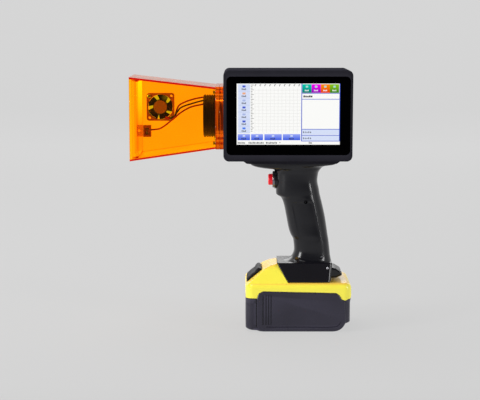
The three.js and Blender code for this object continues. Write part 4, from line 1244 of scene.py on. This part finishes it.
# The foot's front, back and half width, each as points of level and distance.
FOOT_LEFT = [(52.9, -10.8), (72.3, -22.5)]
FOOT_RIGHT = [(52.9, 34.6), (72.3, 37)]
FOOT_HALF = [(52.9, 32), (72.3, 22)]
FOOT_CORNERS = (3.5, 0.8)
TAIL = [(30, 54.2), (41.4, 54.2), (48.5, 57.6), (47.4, 61.5), (41, 65.2), (30, 66.8)]
TAIL_HALF = 15
TAIL_RIBS = (Vector((48.6, 60.6)), Vector((38.5, 66.2)))
CHANNEL_X = (-30, 24)
FOOT_SCREW = (31.6, 67)


def foot_ring(z, by=0):
    """A section of the foot: round at the back, nearly sharp at the front where the hump meets it."""
    left, right, half = [value_at(line, z) for line in (FOOT_LEFT, FOOT_RIGHT, FOOT_HALF)]
    x = (left + by, right - by)
    y = half - by
    back, front = [max(corner - by, 0.3) for corner in FOOT_CORNERS]
    outline = rounded_corners([(x[1], -y), (x[1], y), (x[0], y), (x[0], -y)], [back, back, front, front])
    return [(u, v, z) for u, v in outline]


def lead_hole():
    """The hole through the foot's roof for the power lead."""
    centre_x, radius = 12, 4
    turns = [2 * math.pi * i / 24 for i in range(24)]
    outline = [(centre_x + radius * math.cos(t), radius * math.sin(t)) for t in turns]
    return prism("hole", "z", outline, (65, 76))


def foot():
    """The foot's housing with its tail, the channel for the pack's rail and the grooves across the tail."""
    low, high = FOOT_Z
    edge = 0.9
    levels = [low + edge + (high - low - 2 * edge) * i / 6 for i in range(7)]
    rings = [foot_ring(low + rise, by) for by, rise in arc((edge, edge), edge, 270, 180, 4)]
    rings += [foot_ring(z) for z in levels[1:-1]]
    rings += [foot_ring(high - edge + rise, by) for by, rise in arc((edge, 0), edge, 180, 90, 4)]
    body = loft("foot_block", rings)
    side = rounded_corners(TAIL, [0, 2, 2.6, 3, 4, 0])
    tail = [[(x, y, z) for x, z in shrunk(side, by)] for by, y in both_rims(TAIL_HALF, 2.2, 6)]
    combine(body, loft("tail", tail), "UNION")
    for half, z in ((20.1, (57.3, 66.4)), (15.1, (low - 1, 57.9))):
        combine(body, block("channel", CHANNEL_X, (-half, half), z))
    combine(body, lead_hole())
    for number in range(1, 7):
        x, z = TAIL_RIBS[0].lerp(TAIL_RIBS[1], number / 7)
        path = [Vector((x, y, z)) for y in (-TAIL_HALF - 1, 0, TAIL_HALF + 1)]
        combine(body, tube("rib", path, 0.4, 10))
    place(even_shading(body), FOOT, slot="foot_plastic", replaces="foot_housing")
    seat = 0.4 - value_at(FOOT_HALF, FOOT_SCREW[1])
    # The foot's screw head takes the pale paint of a painted glint.
    place(screw("foot_screw", "y", FOOT_SCREW, seat, -1, 1.3, 1.1, 1.5), SCREW_GLINT, slot="steel")


# ---- battery ------------------------------------------------------------------------------

PACK_HALF = 36
PACK_CORNER = 8
PACK_TOP = 52.5
PACK_TOP_EDGE = 6
# The pack's left and right outline, as points of level and x.
PACK_LEFT = rounded_corners(
    [(0, -44.5), (1.4, -46.5), (1.9, -54), (3.6, -56.5), (PACK_TOP, -56.5)], 1.2, closed=False)
PACK_RIGHT = rounded_corners(
    [(0, 43.5), (7.9, 51.2), (9.9, 55.8), (30.9, 55.8), (38, 57), (PACK_TOP, 56.8)], 1.5, closed=False)
# The line between the shells, from the front to the back, as points of x and level.
PARTING_LINE = [
    (-46, 36.6), (-44.5, 36.2), (-42.6, 41.8), (-37.9, 44.3), (40.4, 42.4), (44.1, 39.8), (46.1, 35.5),
    (50, 34.1), (53.8, 35.5),
]
PARTING_GAP = 0.2
# The hollow's outline in the side view.
PACK_INSIDE = [
    (-53.9, 43.5), (-53.9, 8.5), (-52, 6.3), (-43.6, 6.3), (-42.6, 2.5), (42.6, 2.5), (49.6, 10), (53.3, 12),
    (53.3, 43.5), (50, 50), (-34, 50), (-34, 43.5),
]
INSIDE_HALF = 33.4
HUMP_FOOT = 44
# The hump's top line as points of x and level, and its half width as points of level and y.
HUMP_TOP = rounded_corners(
    [(-56, 49.6), (-36.8, 65.8), (-31, 68.8), (-22.6, 70.9), (-5, 72)], 6, closed=False)
HUMP_HALF = rounded_corners(
    [(HUMP_FOOT, 35.9), (47.5, 35.2), (52, 32.7), (59, 28), (65.5, 23.5), (72, 17.3)], 4, closed=False)
HUMP_REAR = [(-22.6, 71), (-11.1, 52.4), (-11.1, 40), (10, 40), (10, 80), (-28.2, 80)]
HUMP_EDGE = 6
SLOPE_MIDDLE = Vector((-46.15, 57.85))
SLOPE_ALONG = Vector((18.7, 15.7)).normalized()
SLOPE_OUT = Vector((-SLOPE_ALONG.y, SLOPE_ALONG.x))
RELEASE_ENDS = (-11.6, 9.5)
RELEASE_HALF_WIDTH = 16


def on_slope(along, out):
    return SLOPE_MIDDLE + along * SLOPE_ALONG + out * SLOPE_OUT


def slope_spot(along, out):
    x, z = on_slope(along, out)
    return Vector((x, 0, z))


def pack_ring(z, by=0):
    x = (value_at(PACK_LEFT, z) + by, value_at(PACK_RIGHT, z) - by)
    y = (by - PACK_HALF, PACK_HALF - by)
    return [(u, v, z) for u, v in rounded_rectangle(x, y, PACK_CORNER - by)]


def pack_body():
    """The whole pack's rounded body, without the hump."""
    shoulder = PACK_TOP - PACK_TOP_EDGE
    levels = sorted({round(z, 2) for z, _ in [*PACK_LEFT, *PACK_RIGHT] if 1 < z < shoulder})
    rings = [pack_ring(z, by) for by, z in arc((1.2, 1.2), 1.2, 270, 180, 4)]
    rings += [pack_ring(z) for z in levels if z > 1.25]
    rings += [pack_ring(z, by) for by, z in arc((PACK_TOP_EDGE, shoulder), PACK_TOP_EDGE, 180, 92, 8)]
    return loft("pack", rings)


def hump_ring(x):
    """A section of the hump. Its sides lean inwards and its top corners are round."""
    top = value_at(HUMP_TOP, x)
    heights = [HUMP_FOOT + (top - HUMP_FOOT) * i / 9 for i in range(10)]
    right = [(value_at(HUMP_HALF, z), z) for z in heights]
    outline = right + [(-y, z) for y, z in reversed(right)]
    corners = [0] * 9 + [HUMP_EDGE] * 2 + [0] * 9
    return [(x, y, z) for y, z in rounded_corners(outline, corners)]


def hump():
    body = loft("hump", [hump_ring(x) for x in range(-56, -7)])
    plan = rounded_rectangle((-56.5, 20), (-PACK_HALF, PACK_HALF), PACK_CORNER)
    combine(body, prism("plan", "z", plan, (40, 80)), "INTERSECT")
    return combine(body, prism("rear", "y", HUMP_REAR, (-60, 60)))


def rail():
    """The rail that holds the pack on the foot, with slots for the foot's two blades."""
    head = [(-20.5, 65.6), (-15.8, 57.9), (16.6, 57.9), (16.6, 65.6)]
    stem = [(-14, 50.5), (16.6, 50.5), (16.6, 60), (-14, 60)]
    whole = combine(prism("rail", "y", head, (-19.5, 19.5)), prism("stem", "y", stem, (-14.5, 14.5)), "UNION")
    blades = [block("blade", (8, 20), (y - 1.2, y + 1.2), (59.2, 67)) for y in (-9, 9)]
    return combine(whole, joined("blades", blades))


def parted(line_drop, far):
    """The outline of everything above or below the parting line."""
    line = [(x, z - line_drop) for x, z in PARTING_LINE]
    ends = [(-70, line[0][1]), *line, (70, line[-1][1] + 1.5)]
    outline = rounded_corners(ends, 2.2, closed=False)
    return [*outline, (70, far), (-70, far)]


def upper_shell():
    shell = combine(pack_body(), hump(), "UNION")
    combine(shell, prism("above", "y", parted(0, 90), (-60, 60)), "INTERSECT")
    combine(shell, prism("inside", "y", PACK_INSIDE, (-INSIDE_HALF, INSIDE_HALF)))
    pocket_ends = inset(RELEASE_ENDS, -0.4)
    pocket = [on_slope(pocket_ends[i], out) for i, out in ((0, -8.4), (1, -8.4), (1, 12), (0, 12))]
    combine(shell, prism("pocket", "y", pocket, (-RELEASE_HALF_WIDTH - 0.4, RELEASE_HALF_WIDTH + 0.4)))
    combine(shell, tube("spring_hole", [slope_spot(3, out) for out in (-12.6, -10, -8)], 4, 24))
    combine(shell, rail(), "UNION")
    shade(shell.data, 15)
    place(even_shading(shell), YELLOW, body="battery", slot="pack_yellow", replaces="battery_upper_shell")


PANEL = rounded_corners(
    [(-44.5, 35.8), (-44.5, 0.6), (43.5, 0.6), (51.2, 8.5), (49.5, 33.4), (46.1, 35), (44.1, 39.2),
     (40.4, 41.8), (-37.9, 43.7), (-42.6, 41.2)],
    [2, 7, 12, 12, 1.5, 1.5, 2, 2, 3, 2])
PANEL_PROUD = 1
PANEL_GROOVES = (-37.9, -34.6, -31.9, -29.3)
PANEL_LINE = [(-34, 5.4), (0, 5.4), (36, 5.4), (42, 6.6), (45.6, 10.6)]


def side_panel(side):
    """The raised panel on one side of the lower shell, with a rounded rim."""
    rings = [[(x, side * 34, z) for x, z in PANEL]]
    for by, out in arc((0.9, PANEL_PROUD - 0.9), 0.9, 180, 90, 4):
        rings.append([(x, side * (PACK_HALF + out), z) for x, z in shrunk(PANEL, by)])
    return loft("panel", rings)


def panel_cuts(side):
    """Upright grooves at one end of the panel, and a fine line along its foot."""
    outer = side * (PACK_HALF + PANEL_PROUD)
    cuts = []
    for x in PANEL_GROOVES:
        outline = rounded_rectangle((x - 0.55, x + 0.55), (7.7, 40.6), 0.5, 4)
        cuts.append(prism("groove", "y", outline, sorted((outer - side * 0.7, outer + side))))
    path = smooth_path([(x, outer, z) for x, z in PANEL_LINE])
    gap = block("gap", (-45.4, -44.4), sorted((side * 35, side * 40)), (6, 35.4))
    return [*cuts, gap, tube("line", path, 0.6, 10)]


def lower_shell():
    shell = pack_body()
    for side in (-1, 1):
        combine(shell, side_panel(side), "UNION")
    combine(shell, prism("below", "y", parted(PARTING_GAP, -10), (-60, 60)), "INTERSECT")
    combine(shell, prism("inside", "y", PACK_INSIDE, (-INSIDE_HALF, INSIDE_HALF)))
    for side in (-1, 1):
        for cut in panel_cuts(side):
            combine(shell, cut)
    shade(shell.data, 15)
    place(even_shading(shell), PACK, body="battery", slot="pack_grey", replaces="battery_lower_shell")


def release_button():
    """The black button on the slope. Its upper end is a raised thumb rest and its edges are round."""
    low, high = RELEASE_ENDS
    profile = [(low, -5), (high, -5), (high, 2), (high - 1.6, 4), (high - 4.6, 4), (high - 7, 2.9), (-3, 3.2),
               (low + 3, 2.9), (low, 0.4)]
    outline = rounded_corners(profile, [0.5, 0.5, 1.8, 1.4, 1.5, 2.5, 6, 3, 1.5])
    rings = []
    for by, y in both_rims(RELEASE_HALF_WIDTH, 1.5, 5):
        ring = [on_slope(a, o) for a, o in shrunk(outline, by)]
        rings.append([(x, y, z) for x, z in ring])
    button = loft("release_cap", rings, crease=40)
    place(button, RELEASE, body="release", slot="foot_plastic", replaces="battery_release_button")


def release_spring():
    start = slope_spot(3, -12.5)
    ahead = slope_spot(0, 1) - slope_spot(0, 0)
    spring("release_coil", "battery_release_spring", "battery", start, ahead, 7.4, 3, 3.5)


def cells():
    """Ten cells that share one mesh, each with the groove of its can near one end."""
    x, (low, high), _ = span("battery_cell_1")
    radius = (x[1] - x[0]) / 2
    groove = radius - 0.5
    profile = [(0, low), (radius - 1, low), *arc((radius - 0.6, low + 0.6), 0.6, -90, 0, 3),
               (radius, high - 3.4), (groove, high - 2.9), (groove, high - 2.4), (radius, high - 1.9),
               (radius, high - 1.2), (radius - 0.6, high - 0.7), (4, high - 0.7), (3.8, high), (0, high)]
    first = lathe("cell_1", profile, "y", (0, 0), 48)
    for number in range(1, 11):
        node = f"battery_cell_{number}"
        cell = first
        if number > 1:
            cell = bpy.data.objects.new(f"cell_{number}", first.data)
            bpy.context.scene.collection.objects.link(cell)
        x, _, z = span(node)
        cell.location = Vector((middle(x), 0, middle(z))) * MM
        place(cell, CELL, body="battery", slot="cell_sleeve", replaces=node)


# ---- CAD nodes that stay ------------------------------------------------------------------


def kept_nodes():
    kept = {
        "main_board": (CIRCUIT, 0.2),
        "marking_module": (MODULE, 0.4),
        "shield_flange_outer": (FLANGE, 0.3),
        "shield_flange_inner": (FLANGE, 0.3),
        "fan_frame": (FAN_BODY, 0.2),
        "trigger_switch": (BLACK, 0.3),
        "power_harness": (BLACK, 0.1),
        "foot_terminal_block": (BLACK, 0.3),
        "foot_terminal_screen_side": (BRASS, 0.1),
        "foot_terminal_back_side": (BRASS, 0.1),
        "battery_management_board": (CIRCUIT, 0.2),
    }
    for name, (material, width) in kept.items():
        nodes[name].data.materials.clear()
        nodes[name].data.materials.append(material)
        soften(nodes[name], width)


front_bezel()
rear_housing()
touch_glass()
display_body()
screen_picture()
lens_ring()
lens_barrel()
lens_window()
shield()
flange_screws()
fan_rotor()
fan_screws()
leads()
grommet()
sensor()
handle()
plinth()
trigger()
trigger_spring()
foot()
upper_shell()
lower_shell()
release_button()
release_spring()
cells()
kept_nodes()


# ---- stage --------------------------------------------------------------------------------

TARGET = Vector((-0.0625, 0, 0.1377))
CAMERA_DISTANCE = 1.399
CAMERA_RISE = math.radians(8)
FOCAL_LENGTH = 96.66
SENSOR_WIDTH = 36
FLOOR_GLOW_Y = (-1500, 3300)
FLOOR_GLOW = ((0, 0.12), (0.22, 0.5), (0.26, 0.549), (0.51, 0.587), (1, 0.637))
DIM_FRONT = 0.22
BRIGHT_BACK = 0.95
BRIGHTENS_BETWEEN = (-0.9, 0.6)


def floor():
    """A pale round floor whose rim curves up into a backdrop."""
    flat, rise, height = 2200, 1400, 2600
    profile = [(r, 0) for r in (0, 400, flat)]
    profile += [(flat + x, rise + z) for x, z in arc((0, 0), rise, -90, 0, 16)]
    profile += [(flat + rise, rise + height)]
    sides = 96
    points = [(0, 0, 0)]
    for radius, z in profile[1:]:
        turns = [2 * math.pi * j / sides for j in range(sides)]
        points += [(radius * math.cos(turn), radius * math.sin(turn), z) for turn in turns]
    faces = [(0, 1 + j, 1 + (j + 1) % sides) for j in range(sides)]
    faces += [tuple(1 + i for i in face) for face in ring_faces(len(profile) - 1, sides)]
    obj = make_object("floor", points, faces, crease=60)
    paint = Finish("floor_paint", (0.08, 0.08, 0.08), 0.9, Emission_Strength=1.0, Specular_IOR_Level=0.0)
    glow = paint.ramp(paint.along("Y", *FLOOR_GLOW_Y), *FLOOR_GLOW)
    paint.feed(paint.shader.inputs["Emission Color"], glow)
    obj.data.materials.append(paint.material)


def softbox(name, place, aim, size, power):
    lamp = bpy.data.lights.new(name, "AREA")
    lamp.shape = "RECTANGLE"
    lamp.size, lamp.size_y = size
    lamp.energy = power
    obj = bpy.data.objects.new(name, lamp)
    obj.location = place
    obj.rotation_mode = "QUATERNION"
    obj.rotation_quaternion = (Vector(aim) - Vector(place)).to_track_quat("-Z", "Y")
    bpy.context.scene.collection.objects.link(obj)


def light():
    """A room that is dim in front and bright behind, with a soft light above, behind and on each side."""
    world = bpy.data.worlds.new("studio")
    world.use_nodes = True
    tree = world.node_tree
    background = tree.nodes["Background"]
    direction = tree.nodes.new("ShaderNodeTexCoord")
    parts = tree.nodes.new("ShaderNodeSeparateXYZ")
    depth = tree.nodes.new("ShaderNodeMapRange")
    depth.inputs["From Min"].default_value = BRIGHTENS_BETWEEN[0]
    depth.inputs["From Max"].default_value = BRIGHTENS_BETWEEN[1]
    depth.inputs["To Min"].default_value = DIM_FRONT
    depth.inputs["To Max"].default_value = BRIGHT_BACK
    tree.links.new(direction.outputs["Generated"], parts.inputs["Vector"])
    tree.links.new(parts.outputs["Y"], depth.inputs["Value"])
    tree.links.new(depth.outputs["Result"], background.inputs["Strength"])
    bpy.context.scene.world = world
    softbox("top", (-0.45, 0.2, 1.45), (0, 0, 0.15), (1.2, 1.0), 16)
    softbox("left", (-1.5, -0.75, 0.55), (0, 0, 0.13), (0.5, 1.0), 26)
    softbox("right", (1.35, -0.8, 0.5), (0, 0, 0.12), (0.35, 0.9), 12)
    softbox("back", (0, 2.2, 0.95), (0, 0, 0.15), (2.5, 0.8), 12)


def camera():
    data = bpy.data.cameras.new("camera")
    data.lens = FOCAL_LENGTH
    data.sensor_width = SENSOR_WIDTH
    data.clip_end = 20
    obj = bpy.data.objects.new("camera", data)
    back = Vector((0, -math.cos(CAMERA_RISE), math.sin(CAMERA_RISE)))
    obj.location = TARGET + CAMERA_DISTANCE * back
    obj.rotation_mode = "QUATERNION"
    obj.rotation_quaternion = (-back).to_track_quat("-Z", "Y")
    bpy.context.scene.collection.objects.link(obj)
    bpy.context.scene.camera = obj


floor()
light()
camera()
bpy.context.scene.view_settings.view_transform = "Standard"

bpy.context.view_layer.update()
